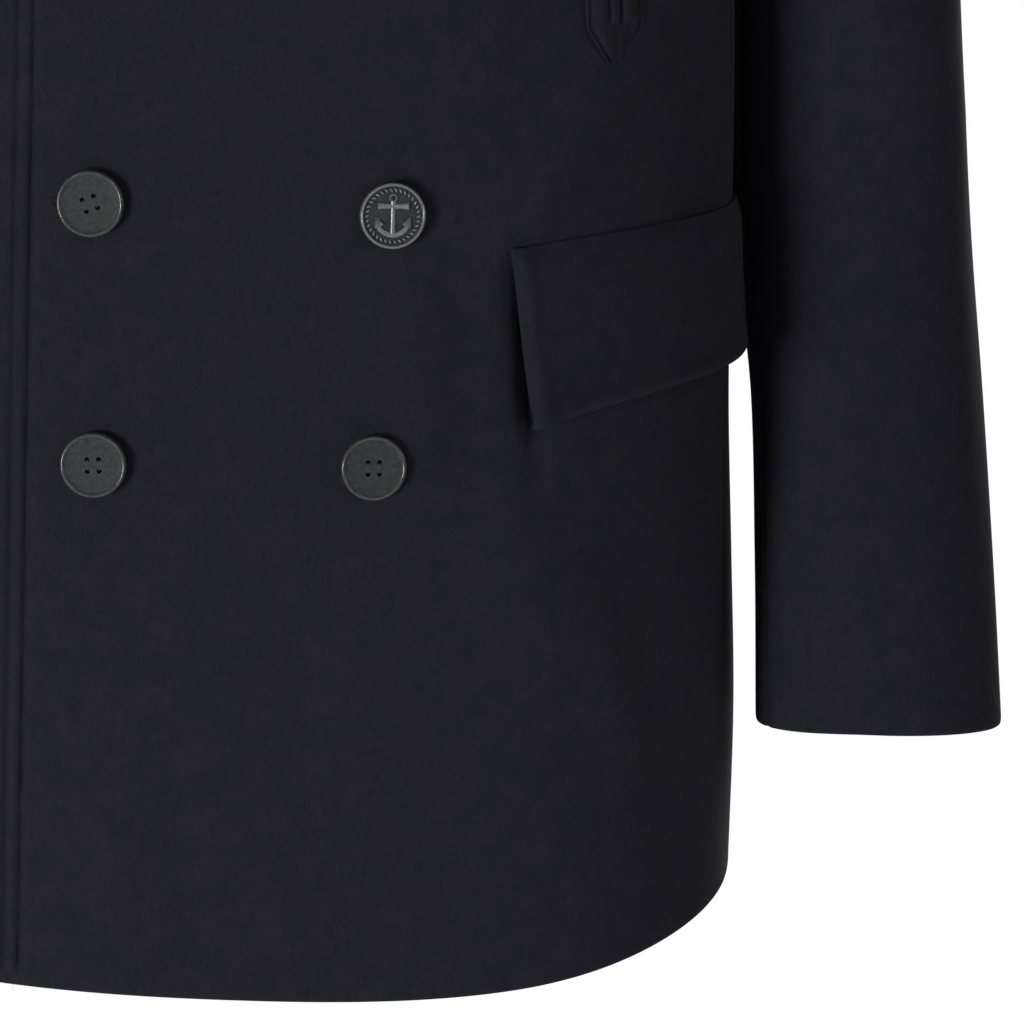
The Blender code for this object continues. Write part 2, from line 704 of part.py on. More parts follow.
# ---------------------------------------------------------------- pockets and buttons
def make_flap(name, hand):
    """A pocket flap that hangs from its top edge and wraps towards the side seam."""
    columns, rows = 12, 4
    outer, inner = [], []
    for row in range(rows + 1):
        down = row / rows
        level = level_at(FLAP_FRONT_X, FLAP_TOP_Z - FLAP_HEIGHT * down, FRONT)
        start = angle_at(FLAP_FRONT_X + FLAP_SLANT * down, level)
        full = spread(level, FRONT, start, 90, 60)
        line = np.array([torso(a, level, FRONT) for a in full])
        walked = np.concatenate([[0], np.cumsum(np.linalg.norm(np.diff(line, axis=0), axis=1))])
        length = FLAP_LENGTH - FLAP_SLANT * down
        angles = np.interp(np.linspace(0, length, columns + 1), walked, full)
        skins = [[], []]
        for column, angle in enumerate(angles):
            along = column / columns
            rise = lerp(FLAP_TOP_RISE, FLAP_LOW_RISE, down) * (1 - (1 - along) ** FLAP_RISE_POWER)
            here = level + rise / (UNDERARM_Z - HEM_Z)
            point, out = torso(angle, here, FRONT), torso_out(angle, here, FRONT)
            lift = LAYER_GAP + FACET_ROOM / 3 + lerp(FLAP_LIFT, FLAP_REAR_LIFT, along) * down**1.3
            if hand == 1:
                lift += float(overlap_lift(point[0], point[2]))
            skins[0].append(point + out * (lift + FLAP_CLOTH))
            skins[1].append(point + out * lift)
        outer.append(skins[0])
        inner.append(skins[1])
    outer, inner = np.array(outer), np.array(inner)
    if hand == -1:
        outer, inner = mirrored(outer), mirrored(inner)
    wall(name, outer, inner, melton)


def make_welt(name, hand):
    """The slash pocket's stitched band, pointed at both ends, with two lips."""
    lips_start = POCKET_POINT * 1.6
    ends = [0, POCKET_POINT, lips_start]
    straight = np.linspace(lips_start, POCKET_LENGTH - lips_start, WELT_STEPS + 1)[1:-1]
    walks = ends + list(straight) + [POCKET_LENGTH - end for end in reversed(ends)]
    outer, inner = [], []
    for walk in walks:
        near = min(walk, POCKET_LENGTH - walk)
        width = POCKET_WIDTH / 2 * lerp(POCKET_BLUNT, 1, min(near / POCKET_POINT, 1))
        open_here = ease(POCKET_POINT, lips_start, near)
        centre = POCKET_TIP_X - POCKET_LEAN * walk / POCKET_LENGTH
        pairs = [
            panel_point(centre + width * place.across, POCKET_TIP_Z + walk, hand)
            for place in WELT_SECTION
        ]
        heights = [lerp(place.height_at_end, place.height, open_here) for place in WELT_SECTION]
        outer.append([p + out * (LAYER_GAP + high) for (p, out), high in zip(pairs, heights)])
        inner.append([p + out * LAYER_GAP for p, out in pairs])
    wall(name, np.array(outer), np.array(inner), melton)


def make_button(name, x, z):
    """A turned button on its thread shank, squarely on the overlap."""
    point, out = panel_point(x, z, 1)
    low, high = SHANK_HEIGHT, SHANK_HEIGHT + BUTTON_HEIGHT
    profile = (
        (0.0, high - 0.0017),
        (BUTTON_RADIUS * 0.62, high - 0.0014),
        (BUTTON_RADIUS * 0.80, high - 0.0001),
        (BUTTON_RADIUS * 0.93, high),
        (BUTTON_RADIUS, high - 0.0012),
        (BUTTON_RADIUS * 0.93, low + 0.0012),
        (BUTTON_RADIUS * 0.62, low),
        (SHANK_RADIUS, low),
        (SHANK_RADIUS, 0.0),
        (0.0, 0.0),
    )
    mesh = bpy.data.meshes.new(name)
    mesh.from_pydata([(r, 0, h) for r, h in profile], [(i, i + 1) for i in range(len(profile) - 1)], [])
    piece = add_object(name, mesh, horn)
    turn = piece.modifiers.new("turn", "SCREW")
    turn.steps = turn.render_steps = 16
    turn.use_merge_vertices = True
    turn.merge_threshold = 0.00001
    turn.use_smooth_shade = True
    piece.location = point + out * (SEAM_GAP + FACET_ROOM / 6)
    sideways = unit(np.cross([0.0, 0.0, 1.0], out))
    upright = np.cross(out, sideways)
    matrix = np.eye(4)
    matrix[:3, 0], matrix[:3, 1], matrix[:3, 2] = sideways, upright, out
    piece.rotation_mode = "QUATERNION"
    piece.rotation_quaternion = mathutils.Matrix(matrix.tolist()).to_quaternion()


# ---------------------------------------------------------------- the coat
for old in list(bpy.data.objects):
    bpy.data.objects.remove(old)
COAT = bpy.data.collections.new("pea_coat")
bpy.context.scene.collection.children.link(COAT)
melton = make_material(*MELTON)
horn = make_material(*HORN)

gorges = {}
for side, hand in (("left", 1), ("right", -1)):
    make_front(f"front_{side}", hand)
    make_back(f"back_{side}", hand)
    make_sleeve(f"topsleeve_{side}", BACK_SLEEVE_SEAM - 360, FRONT_SLEEVE_SEAM, hand)
    make_sleeve(f"undersleeve_{side}", FRONT_SLEEVE_SEAM, BACK_SLEEVE_SEAM, hand)
    gorges[hand] = make_lapel(f"lapel_{side}", hand)
    make_flap(f"flap_{side}", hand)
    make_welt(f"pocket_welt_{side}", hand)
make_collar("collar", gorges)
for number, row in enumerate(BUTTON_ROWS, start=1):
    make_button(f"button_edge_{number}", row.left_x, row.left_z)
    make_button(f"button_side_{number}", row.right_x, row.right_z)
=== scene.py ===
# %% [markdown]
# # A double-breasted pea coat
# The coat is heavy navy wool melton, cut in panels and filled out as when it is worn, with nobody
# in it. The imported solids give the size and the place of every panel. Here each one becomes a thin
# shell of cloth on the same smooth form, with rolled edges, sunken seams, sewing and soft creases.
# %% Load the fixed frame
import math

import bpy
import numpy as np
from mathutils import Matrix, Vector
from mathutils.bvhtree import BVHTree


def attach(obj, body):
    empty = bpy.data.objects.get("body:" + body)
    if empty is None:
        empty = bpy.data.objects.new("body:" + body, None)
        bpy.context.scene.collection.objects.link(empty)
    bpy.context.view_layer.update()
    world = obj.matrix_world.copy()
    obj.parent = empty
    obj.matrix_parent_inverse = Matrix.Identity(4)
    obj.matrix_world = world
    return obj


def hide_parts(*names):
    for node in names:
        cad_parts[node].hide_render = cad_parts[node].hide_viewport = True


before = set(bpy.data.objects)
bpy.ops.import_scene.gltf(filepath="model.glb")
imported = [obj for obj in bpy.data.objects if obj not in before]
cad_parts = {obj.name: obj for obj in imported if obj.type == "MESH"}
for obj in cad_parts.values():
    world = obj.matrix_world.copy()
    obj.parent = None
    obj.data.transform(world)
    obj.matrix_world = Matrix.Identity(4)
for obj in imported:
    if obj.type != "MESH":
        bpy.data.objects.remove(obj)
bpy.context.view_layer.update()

# %% [markdown]
# ## The camera
# A long lens stands in front of the coat, a little above the hem, and looks down at it. A long lens
# keeps vertical edges nearly parallel, which suits a coat shown close up.
# %% Camera
HEM_Z = -0.780
YAW, PITCH, ROLL = math.radians(4.39), math.radians(12.79), math.radians(1.0)
CAMERA_AT = (0, -1.60, HEM_Z + 0.54)
LENS = 129.0


def aim(yaw, pitch, roll, place):
    level_ahead = Vector((math.sin(yaw), math.cos(yaw), 0))
    ahead = level_ahead * math.cos(pitch) - Vector((0, 0, math.sin(pitch)))
    level_right = Vector((math.cos(yaw), -math.sin(yaw), 0))
    level_up = level_right.cross(ahead)
    right = level_right * math.cos(roll) + level_up * math.sin(roll)
    up = -level_right * math.sin(roll) + level_up * math.cos(roll)
    matrix = Matrix((right, up, -ahead)).transposed().to_4x4()
    matrix.translation = place
    return matrix


camera_data = bpy.data.cameras.new("camera")
camera_data.lens = LENS
camera = bpy.data.objects.new("camera", camera_data)
bpy.context.scene.collection.objects.link(camera)
camera.matrix_world = aim(YAW, PITCH, ROLL, CAMERA_AT)
bpy.context.scene.camera = camera
print("lens", LENS, "mm at", CAMERA_AT)

# %% [markdown]
# ## The form under the cloth
# Every panel lies on one form: level sections of a superellipse that widen and narrow on the way
# up, and round in to the shoulder line. Working on a formula, not on the facets of the solids, lets
# each shell be as smooth as cloth and still fit its neighbours exactly. A place on the torso is a
# level (0 hem, 1 underarm, 2 shoulder seam) and an angle (0 centre, 90 side seam).
# %% Sizes of the form, in metres
CLOTH = 0.0024  # heavy melton
SEAM_GAP, LAYER_GAP, FACET_ROOM = 0.0003, 0.0004, 0.0013
OVERLAP_GAP, OVERLAP_FADE = 0.0012, (0.010, 0.095)
UNDERARM_Z = -0.250
SHOULDER_X, SHOULDER_Z, SHOULDER_FLAT_X, SHOULDER_FALL_POWER = 0.225, -0.045, 0.045, 1.25
NECK_HALF, NECK_BACK = 0.080, 0.066
SECTION_POWER, FRONT_RISE_POWER, BACK_RISE_POWER = 2.5, 2.1, 2.4
TORSO_RINGS = np.array([  # z, half width, front depth, back depth
    (-0.780, 0.2229, 0.1460, 0.1260),
    (-0.690, 0.2230, 0.1460, 0.1270),
    (-0.620, 0.2200, 0.1455, 0.1265),
    (-0.550, 0.2168, 0.1440, 0.1240),
    (-0.450, 0.2158, 0.1420, 0.1200),
    (-0.370, 0.2142, 0.1400, 0.1180),
    (-0.250, 0.2070, 0.1380, 0.1240),
])
HEM_TILT, HEM_BOW, HEM_CORNER = -0.0098, 0.0089, 0.0195
ARMHOLE_DIP, ARMHOLE_OPEN, ARMHOLE_ROUND = 0.026, 0.60, 0.45
EDGE_AT_HEM, EDGE_LEAN = -0.1058, 0.0273
FRONT, BACK = -1, 1
HANDS = (("left", 1), ("right", -1))


# %% Small helpers for curves and vectors
def spline(table, column):
    """A smooth function through a column of a table, read against its first column."""
    t, p = table[:, 0], table[:, column]
    slope = np.gradient(p, t)

    def at(u):
        u = np.clip(u, t[0], t[-1])
        i = np.clip(np.searchsorted(t, u, side="right") - 1, 0, len(t) - 2)
        span = t[i + 1] - t[i]
        f = (u - t[i]) / span
        start = (1 + 2 * f) * (1 - f) ** 2 * p[i] + f * (1 - f) ** 2 * span * slope[i]
        return start + f * f * (3 - 2 * f) * p[i + 1] + f * f * (f - 1) * span * slope[i + 1]

    return at


def ease(low, high, at):
    f = np.clip((at - low) / (high - low), 0, 1)
    return f * f * (3 - 2 * f)


def lerp(a, b, f):
    return a + (b - a) * f


def unit(v):
    return v / np.linalg.norm(v, axis=-1, keepdims=True)


def alike(*values):
    """Numbers and arrays as float arrays of one shape."""
    return np.broadcast_arrays(*(np.asarray(value, float) for value in values))


def mirrored(points):
    return points * np.array([-1.0, 1.0, 1.0])


def walked(line):
    """Lengths walked along a row of points, from its start."""
    return np.concatenate([[0], np.cumsum(np.linalg.norm(np.diff(line, axis=0), axis=1))])


def read_at(at, lengths, rows):
    """Rows of numbers, such as points, read in between at these places along them."""
    return np.column_stack([np.interp(at, lengths, column) for column in rows.T])


def handed(points, outs, hand):
    """Points and outward directions as arrays, mirrored for the wearer's right side."""
    points, outs = np.array(points), np.array(outs)
    return (points, outs) if hand == 1 else (mirrored(points), mirrored(outs))


# %% The torso
ring_half, ring_front, ring_back = (spline(TORSO_RINGS, column) for column in (1, 2, 3))


def fall(x):
    reach = (SHOULDER_X - SHOULDER_FLAT_X) ** SHOULDER_FALL_POWER
    return np.maximum(np.abs(x) - SHOULDER_FLAT_X, 0) ** SHOULDER_FALL_POWER / reach


NECK_FALL = float(fall(NECK_HALF))


def shoulder_line(x):
    return SHOULDER_Z / (NECK_FALL - 1) * (NECK_FALL - fall(x))


def armhole_x(rise):
    return lerp(TORSO_RINGS[-1, 1], SHOULDER_X, rise) - ARMHOLE_DIP * 4 * rise * (1 - rise)


def armhole_share(rise):
    filled = np.minimum(rise / ARMHOLE_ROUND, 1)
    return ARMHOLE_OPEN * np.sqrt(filled * (2 - filled))


def past_underarm(level):
    """How far a level is on its way from the underarm to the shoulder seam."""
    return np.clip(np.asarray(level, float) - 1, 0, 1)


def rounding(share, power):
    """How wide a superellipse of this power still is where it is this share high."""
    return (1 - share**power) ** (1 / power)


def half_width(level):
    below, rise = ring_half(lerp(HEM_Z, UNDERARM_Z, np.minimum(level, 1))), past_underarm(level)
    closing = rounding(armhole_share(rise), SECTION_POWER)
    return np.where(rise > 0, armhole_x(rise) / closing, below)


def depth(level, face):
    ring, power = (ring_front, FRONT_RISE_POWER) if face == FRONT else (ring_back, BACK_RISE_POWER)
    below, rise = ring(lerp(HEM_Z, UNDERARM_Z, np.minimum(level, 1))), past_underarm(level)
    return np.where(rise > 0, ring(UNDERARM_Z) * rounding(rise, power), below)


def hem_rise(x, face, hand):
    share = hand * x / TORSO_RINGS[0, 1]
    if face == BACK:
        return (HEM_TILT + HEM_BOW + HEM_CORNER) * np.abs(share) ** 3
    return HEM_TILT * share + HEM_BOW * share**2 + HEM_CORNER * np.maximum(share, 0) ** 4


def height(x, level, face, hand=1):
    low = lerp(HEM_Z, UNDERARM_Z, level) + hem_rise(x, face, hand) * np.maximum(1 - level, 0) ** 3
    return np.where(np.asarray(level) <= 1, low, lerp(UNDERARM_Z, shoulder_line(x), level - 1))


def torso(angle, level, face, hand=1):
    angle, level = alike(angle, level)
    sine, cosine = np.sin(np.radians(angle)), np.cos(np.radians(angle))
    x = half_width(level) * np.sign(sine) * np.abs(sine) ** (2 / SECTION_POWER)
    y = face * depth(level, face) * np.abs(cosine) ** (2 / SECTION_POWER)
    return np.stack([x, y, height(x, level, face, hand)], axis=-1)


def torso_out(angle, level, face):
    turn, rise = 0.05, 1e-4
    angle, level = alike(angle, level)
    rear, ahead = (torso(np.clip(angle + step, -90, 90), level, face) for step in (-turn, turn))
    low, high = (torso(angle, np.clip(level + step, 0, 2), face) for step in (-rise, rise))
    return unit(np.cross(ahead - rear, high - low)) * -face


def angle_at(x, level):
    share = np.minimum(np.abs(x) / half_width(level), 1)
    return np.sign(x) * np.degrees(np.arcsin(share ** (SECTION_POWER / 2)))


def level_at(x, z, face, hand=1):
    level = np.full(np.broadcast(x, z).shape, 0.5)
    for _ in range(8):
        straight = z - hem_rise(x, face, hand) * (1 - level) ** 3
        level = np.clip((straight - HEM_Z) / (UNDERARM_Z - HEM_Z), 0, 1)
    above = 1 + (z - UNDERARM_Z) / (shoulder_line(x) - UNDERARM_Z)
    return np.where(z >= UNDERARM_Z, above, level)


def end_angle(level):
    rise = past_underarm(level)
    return np.where(rise > 0, angle_at(armhole_x(rise), level), 90.0)


print("chest depth", round(float(depth(1, FRONT) + depth(1, BACK)), 4))

# %% The front edge, the roll line and the lift where the left front lies on the right one
BREAK_LEVEL = 1.14645
ROLL_END_LEVEL, ROLL_END_X = 1.85355, 0.066
LIFT_FROM, LIFT_FULL = 0.022, 0.002  # below the break, to clear the right lapel above it
BREAK_Z = float(lerp(UNDERARM_Z, shoulder_line(0.0), BREAK_LEVEL - 1))
ROLL_END_Z = float(height(ROLL_END_X, ROLL_END_LEVEL, FRONT))


def edge_x(z):
    return EDGE_AT_HEM + EDGE_LEAN * (z - HEM_Z)


BREAK_X = edge_x(BREAK_Z)


def roll_x(z):
    return lerp(BREAK_X, ROLL_END_X, (z - BREAK_Z) / (ROLL_END_Z - BREAK_Z))


def inner_x(level):
    if level >= ROLL_END_LEVEL:
        return lerp(ROLL_END_X, NECK_HALF, (level - ROLL_END_LEVEL) / (2 - ROLL_END_LEVEL))
    x = 0.0
    for _ in range(8):
        z = float(height(x, level, FRONT))
        x = roll_x(z) if z > BREAK_Z else edge_x(z)
    return x


def overlap_lift(x, z):
    own_edge = np.where(z > BREAK_Z, roll_x(z), edge_x(z))
    fade = 1 - ease(*OVERLAP_FADE, x + own_edge)
    on_lapel = ease(BREAK_Z - LIFT_FROM, BREAK_Z - LIFT_FULL, z)
    return fade * (CLOTH + OVERLAP_GAP + (CLOTH + LAYER_GAP + FACET_ROOM) * on_lapel)


def panel_point(x, z, hand):
    """(point, outward) on a front's outer face; x runs towards the piece's own side seam."""
    level = level_at(x, z, FRONT, hand)
    angle = angle_at(x, level)
    point, out = torso(angle, level, FRONT, hand), torso_out(angle, level, FRONT)
    if hand == 1:
        point = point + out * overlap_lift(x, z)[..., None]
    return handed(point, out, hand)


print("lapels break at", round(BREAK_Z, 3), "and roll to", round(ROLL_END_Z, 3))

# %% [markdown]
# ## The sleeve's form
# A sleeve starts as the armhole's line and within a hand's breadth becomes a plain oval tube. Its
# stations are a little forward at the wrist, as an arm hangs.
# %% Sleeve stations
SLEEVE_STATIONS = np.array([  # place, outer x z, inner x z, centre y, half depth, tilt
    (0, 0.2250, -0.0450, 0.2070, -0.2500, 0.000, 0.0660, 0),
    (1, 0.2400, -0.0490, 0.2125, -0.2515, 0.000, 0.0690, 0),
    (2, 0.2640, -0.0660, 0.2150, -0.2570, 0.000, 0.0715, 0),
    (3, 0.2840, -0.1010, 0.2154, -0.2690, 0.000, 0.0720, 0),
    (4, 0.2972, -0.1560, 0.2154, -0.2870, 0.002, 0.0700, 0),
    (5, 0.3053, -0.2250, 0.2154, -0.3120, 0.005, 0.0660, 0),
    (6, 0.3110, -0.2950, 0.2160, -0.3440, 0.008, 0.0620, 0),
    (7, 0.3168, -0.3700, 0.2172, -0.3850, 0.011, 0.0580, 1),
    (8, 0.3253, -0.4600, 0.2202, -0.4580, 0.011, 0.0540, 3),
    (9, 0.3322, -0.5500, 0.2280, -0.5440, -0.008, 0.0510, 6),
    (10, 0.3364, -0.6250, 0.2296, -0.6180, -0.027, 0.0490, 7),
    (11, 0.3400, -0.6910, 0.2304, -0.6890, -0.041, 0.0475, 7),
])
sleeve_curves = [spline(SLEEVE_STATIONS, column) for column in range(1, 8)]
LAST_STATION = len(SLEEVE_STATIONS) - 1
ARMHOLE_FADE = 3.5  # the station at which a sleeve has become its own oval tube
MITRE_PLACE = 0.15  # where the direction of the sleeve's cloth is read for the seam


def sleeve_ring(angle, place):
    angle, place = alike(angle, place)
    outer_x, outer_z, inner_x_, inner_z, centre_y, deep, tilt = (c(place) for c in sleeve_curves)
    a, tilt = np.radians(angle), np.radians(tilt)
    outer = np.stack([outer_x, centre_y, outer_z], axis=-1)
    inner = np.stack([inner_x_, centre_y, inner_z], axis=-1)
    ahead = np.stack([0 * a, -np.cos(tilt), np.sin(tilt)], axis=-1)
    swing = (outer - inner) / 2 * np.cos(a)[..., None]
    return (outer + inner) / 2 + swing + ahead * (deep * np.sin(a))[..., None]


def on_armhole(angle, of_torso):
    """A function of the torso read on the armhole: 0 at the shoulder, 90 in front, 180 below."""
    angle = np.radians(angle)
    level = 1 + (1 + np.cos(angle)) / 2
    ahead, behind = (of_torso(end_angle(level), level, face) for face in (FRONT, BACK))
    return np.where((np.sin(angle) >= 0)[..., None], ahead, behind)


def sleeve(angle, place):
    angle, place = alike(angle, place)
    left_over = on_armhole(angle, torso) - sleeve_ring(angle, 0)
    return sleeve_ring(angle, place) + left_over * (1 - ease(0, ARMHOLE_FADE, place))[..., None]


def sleeve_out(angle, place):
    angle, place = np.asarray(angle, float), np.asarray(place, float)
    step = 0.02
    up, down = (sleeve(angle, np.clip(place + s, 0, LAST_STATION)) for s in (-step, step))
    return unit(np.cross(sleeve(angle + 1, place) - sleeve(angle - 1, place), down - up))


def armhole_mitre(angle):
    """The direction that body and sleeve share along the seam between them."""
    body = on_armhole(angle, torso_out)
    middle = unit(body + sleeve_out(angle, MITRE_PLACE))
    return middle / np.maximum((middle * body).sum(-1, keepdims=True), 0.5)


print("cuff width", round(float(np.linalg.norm(sleeve(0, 11) - sleeve(180, 11))), 4))

# %% [markdown]
# ## Melton
# Melton is woven wool that is shrunk in the mill until no thread shows, then brushed and sheared.
# It has no gloss: light sinks into a short felt of fibres. Near black navy is never one colour:
# the fulling leaves soft cloudy patches about a centimetre across, some bluer and some greyer, the
# nap is a fine grain, and thick places in the yarn show as short dark flecks. Noises at those real
# sizes make the colour, and two of them make the bump.
# %% One colour function and one node function
def hex_colour(code):
    """An sRGB hex colour as linear red, green, blue and alpha."""
    parts = [int(code[i:i + 2], 16) / 255 for i in (1, 3, 5)]
    return (*[p / 12.92 if p <= 0.04045 else ((p + 0.055) / 1.055) ** 2.4 for p in parts], 1)


def node(material, kind, settings=(), links=(), values=(), stops=()):
    """Adds one node: settings are its own options, values its sockets, links what feeds them,
    and stops the places and colours along a ramp."""
    made = material.node_tree.nodes.new("ShaderNode" + kind)
    for option, value in dict(settings).items():
        setattr(made, option, value)
    for socket, value in dict(values).items():
        made.inputs[socket].default_value = value
    for socket, source in dict(links).items():
        material.node_tree.links.new(source, made.inputs[socket])
    if stops:
        first, last = made.color_ramp.elements
        (first.position, first.color), (last.position, last.color) = stops[0], stops[-1]
    for position, colour in stops[1:-1]:
        made.color_ramp.elements.new(position).color = colour
    return made


def new_material(name, values):
    """A material whose shader has these values on its own sockets."""
    material = bpy.data.materials.new(name)
    material.use_nodes = True
    shader = material.node_tree.nodes["Principled BSDF"]
    for socket, value in values.items():
        shader.inputs[socket].default_value = value
    return material, shader


def feed(material, shader, sources):
    """Links what these sources give to the shader's sockets."""
    for socket, source in sources.items():
        material.node_tree.links.new(source, shader.inputs[socket])


def per_metre(millimetres):
    """The noise scale whose blobs are about this wide, on coordinates in metres."""
    return 1000 / millimetres


# %% Melton wool
NAVY, NAVY_DEEP, NAVY_GREY = hex_colour("#1e1d26"), hex_colour("#1b1b26"), hex_colour("#201f27")
SLUB, WHITE = hex_colour("#101017"), hex_colour("#ffffff")
CLOUD_MM, NAP_MM, FELT_MM, SLUB_MM = 11, 0.9, 4.5, 2.2

melton, melton_shader = new_material("wool_melton_fulled_and_brushed", {
    "Roughness": 0.92, "Specular IOR Level": 0.12, "IOR": 1.55,
    "Sheen Weight": 0.02, "Sheen Roughness": 0.6, "Sheen Tint": hex_colour("#8b8ca6")})
place = node(melton, "TexCoord").outputs["Object"]
brushed = node(melton, "Mapping", links={"Vector": place}, values={"Scale": (1, 1, 0.45)})
clouds = node(melton, "TexNoise", links={"Vector": place},
              values={"Scale": per_metre(CLOUD_MM), "Detail": 3.0, "Roughness": 0.55})
felt = node(melton, "TexNoise", links={"Vector": place},
            values={"Scale": per_metre(FELT_MM), "Detail": 4.0, "Roughness": 0.6})
nap = node(melton, "TexNoise", links={"Vector": brushed.outputs["Vector"]},
           values={"Scale": per_metre(NAP_MM), "Detail": 2.0, "Roughness": 0.6})
slubs = node(melton, "TexNoise", links={"Vector": brushed.outputs["Vector"]},
             values={"Scale": per_metre(SLUB_MM), "Detail": 0.0})
cloudy = node(melton, "ValToRGB", links={"Fac": clouds.outputs["Fac"]},
              stops=((0.36, NAVY_DEEP), (0.52, NAVY), (0.66, NAVY_GREY)))
fine = node(melton, "ValToRGB", links={"Fac": nap.outputs["Fac"]},
            stops=((0.30, hex_colour("#cfcfcf")), (0.72, WHITE)))
tone = node(melton, "ValToRGB", links={"Fac": felt.outputs["Fac"]},
            stops=((0.34, hex_colour("#e6e6e6")), (0.66, WHITE)))
flecked = node(melton, "ValToRGB", links={"Fac": slubs.outputs["Fac"]},
               stops=((0.70, (0, 0, 0, 1)), (0.80, (0.5, 0.5, 0.5, 1))))
grained = node(melton, "MixRGB", {"blend_type": "MULTIPLY"}, values={"Fac": 0.85},
               links={"Color1": cloudy.outputs["Color"], "Color2": fine.outputs["Color"]})
felted = node(melton, "MixRGB", {"blend_type": "MULTIPLY"}, values={"Fac": 0.8},
              links={"Color1": grained.outputs["Color"], "Color2": tone.outputs["Color"]})
final = node(melton, "MixRGB", values={"Color2": SLUB},
             links={"Fac": flecked.outputs["Color"], "Color1": felted.outputs["Color"]})
coarse = node(melton, "Bump", values={"Strength": 0.22, "Distance": 0.0006},
              links={"Height": felt.outputs["Fac"]})
hairs = node(melton, "Bump", values={"Strength": 0.28, "Distance": 0.0003},
             links={"Height": nap.outputs["Fac"], "Normal": coarse.outputs["Normal"]})
feed(melton, melton_shader, {"Base Color": final.outputs["Color"],
                             "Normal": hairs.outputs["Normal"]})
print("material:", melton.name)

# %% [markdown]
# ## From a grid to a panel of cloth
# A panel is a plane grid whose crossings are laid on the form, as a pattern piece is laid on a
# tailor's dummy. Lines of the grid stand close together where something small happens, such as a
# rolled edge or a row of stitches, and wide apart on plain cloth. Solidify then gives the cloth its
# thickness inwards, and Bevel rounds the cut edges.
# %% Making one shell of cloth
RIM = 0.0009  # how far a cut edge is rounded


def deselect():
    bpy.ops.object.select_all(action="DESELECT")


def select_only(*pieces):
    """Selects these pieces and makes the first one active."""
    deselect()
    for piece in pieces:
        piece.select_set(True)
    bpy.context.view_layer.objects.active = pieces[0]


def apply_modifier(piece, kind, **settings):
    modifier = piece.modifiers.new(kind.lower(), kind)
    for option, value in settings.items():
        setattr(modifier, option, value)
    bpy.context.view_layer.objects.active = piece
    bpy.ops.object.modifier_apply(modifier=modifier.name)


def cloth_shell(name, skin, outward, thickness, rim):
    """A shell of cloth whose outer face is the grid of points skin."""
    rows, columns = skin.shape[:2]
    deselect()
    bpy.ops.mesh.primitive_grid_add(x_subdivisions=columns - 1, y_subdivisions=rows - 1, size=1)
    piece = bpy.context.object
    piece.name = piece.data.name = name
    piece.data.vertices.foreach_set("co", skin.reshape(-1, 3).ravel())
    normals = np.zeros(len(piece.data.polygons) * 3)
    piece.data.polygons.foreach_get("normal", normals)
    facing = normals.reshape(rows - 1, columns - 1, 3) * outward[:-1, :-1]
    if facing.sum() < 0:
        bpy.ops.object.mode_set(mode="EDIT")
        bpy.ops.mesh.select_all(action="SELECT")
        bpy.ops.mesh.flip_normals()
        bpy.ops.object.mode_set(mode="OBJECT")
    apply_modifier(piece, "SOLIDIFY", thickness=thickness, offset=-1)
    apply_modifier(piece, "BEVEL", width=rim, segments=2, limit_method="ANGLE",
                   angle_limit=math.radians(55), use_clamp_overlap=False)
    bpy.ops.object.shade_smooth_by_angle(angle=math.radians(50))
    piece.data.materials.append(melton)
    return piece


# %% Running a panel on past its seams
RUN_ON = 0.0006
SIDES = {"start": (np.s_[:, 0], np.s_[:, 1]), "end": (np.s_[:, -1], np.s_[:, -2]),
         "first": (np.s_[0], np.s_[1]), "last": (np.s_[-1], np.s_[-2])}


def run_on(skin, sides):
    """The panel with some sides run on past their seams, so no light passes between two panels."""
    skin = skin.copy()
    for side in sides:
        edge, inner = SIDES[side]
        skin[edge] += unit(skin[edge] - skin[inner]) * RUN_ON
    return skin


# %% [markdown]
# ## From points to a panel
# Each panel keeps its outer points and outward directions for the sewing, and its shell of cloth
# takes the place of its solid.
# %% From points to a panel
skins = {}  # the outer points and outward directions of each panel, for the sewing


def make_panel(name, skin, outward, *sides, thickness=CLOTH, rim=RIM):
    """Shows a panel in place of its solid, run on past some sides, and keeps its points for the
    sewing.
    """
    skins[name] = skin, outward
    piece = cloth_shell(name + "_cloth", run_on(skin, sides), outward, thickness, rim)
    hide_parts(name)
    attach(piece, "root")


# %% [markdown]
# ## What the needle and the iron leave in the cloth
# A seam lies a little lower than the cloth beside it, a row of stitches sinks into a thick felt as
# a soft groove, and a free edge rolls over. These are fractions of a millimetre, but side light
# finds them, and without them a panel looks like a plastic shell. Creases are longer and softer:
# each is listed as one line with its own width and depth.
# %% Relief of seams, stitching, edges and creases
SEAM_DEPTH, SEAM_SPREAD = 0.0011, 0.0022
STITCH_ROWS = (0.0095, 0.0160)  # distances of the two rows of stitching from an edge
GROOVE_DEPTH, GROOVE_HALF, GROOVE_PULLS = 0.0017, 0.0014, (0.72, 1.0)
PUFF_HEIGHT, PUFF_HALF = 0.00040, 0.0020
PUCKERS = ((0.20, 173, 0.4), (0.14, 411, 0.0), (0.10, 57, 1.9))  # share, waves a metre, phase
HEM_ROLL, HEM_DROP = 0.0045, 0.0012
EDGE_ROLL, EDGE_DROP = 0.0030, 0.0009
MITRE_REACH = 0.006  # how far from an armhole the cloth turns to the seam's own direction
CREASE_FADE = 0.03  # creases die out this far from a side seam or an armhole
CREASE_RISES, CREASE_DIES = (-0.20, 0.30), (0.70, 1.20)  # shares of a crease's length


def hump(distance, half):
    """A soft bell, 1 at no distance."""
    return np.exp(-((distance / half) ** 2))


def seam(distance):
    return -SEAM_DEPTH * hump(distance, SEAM_SPREAD)


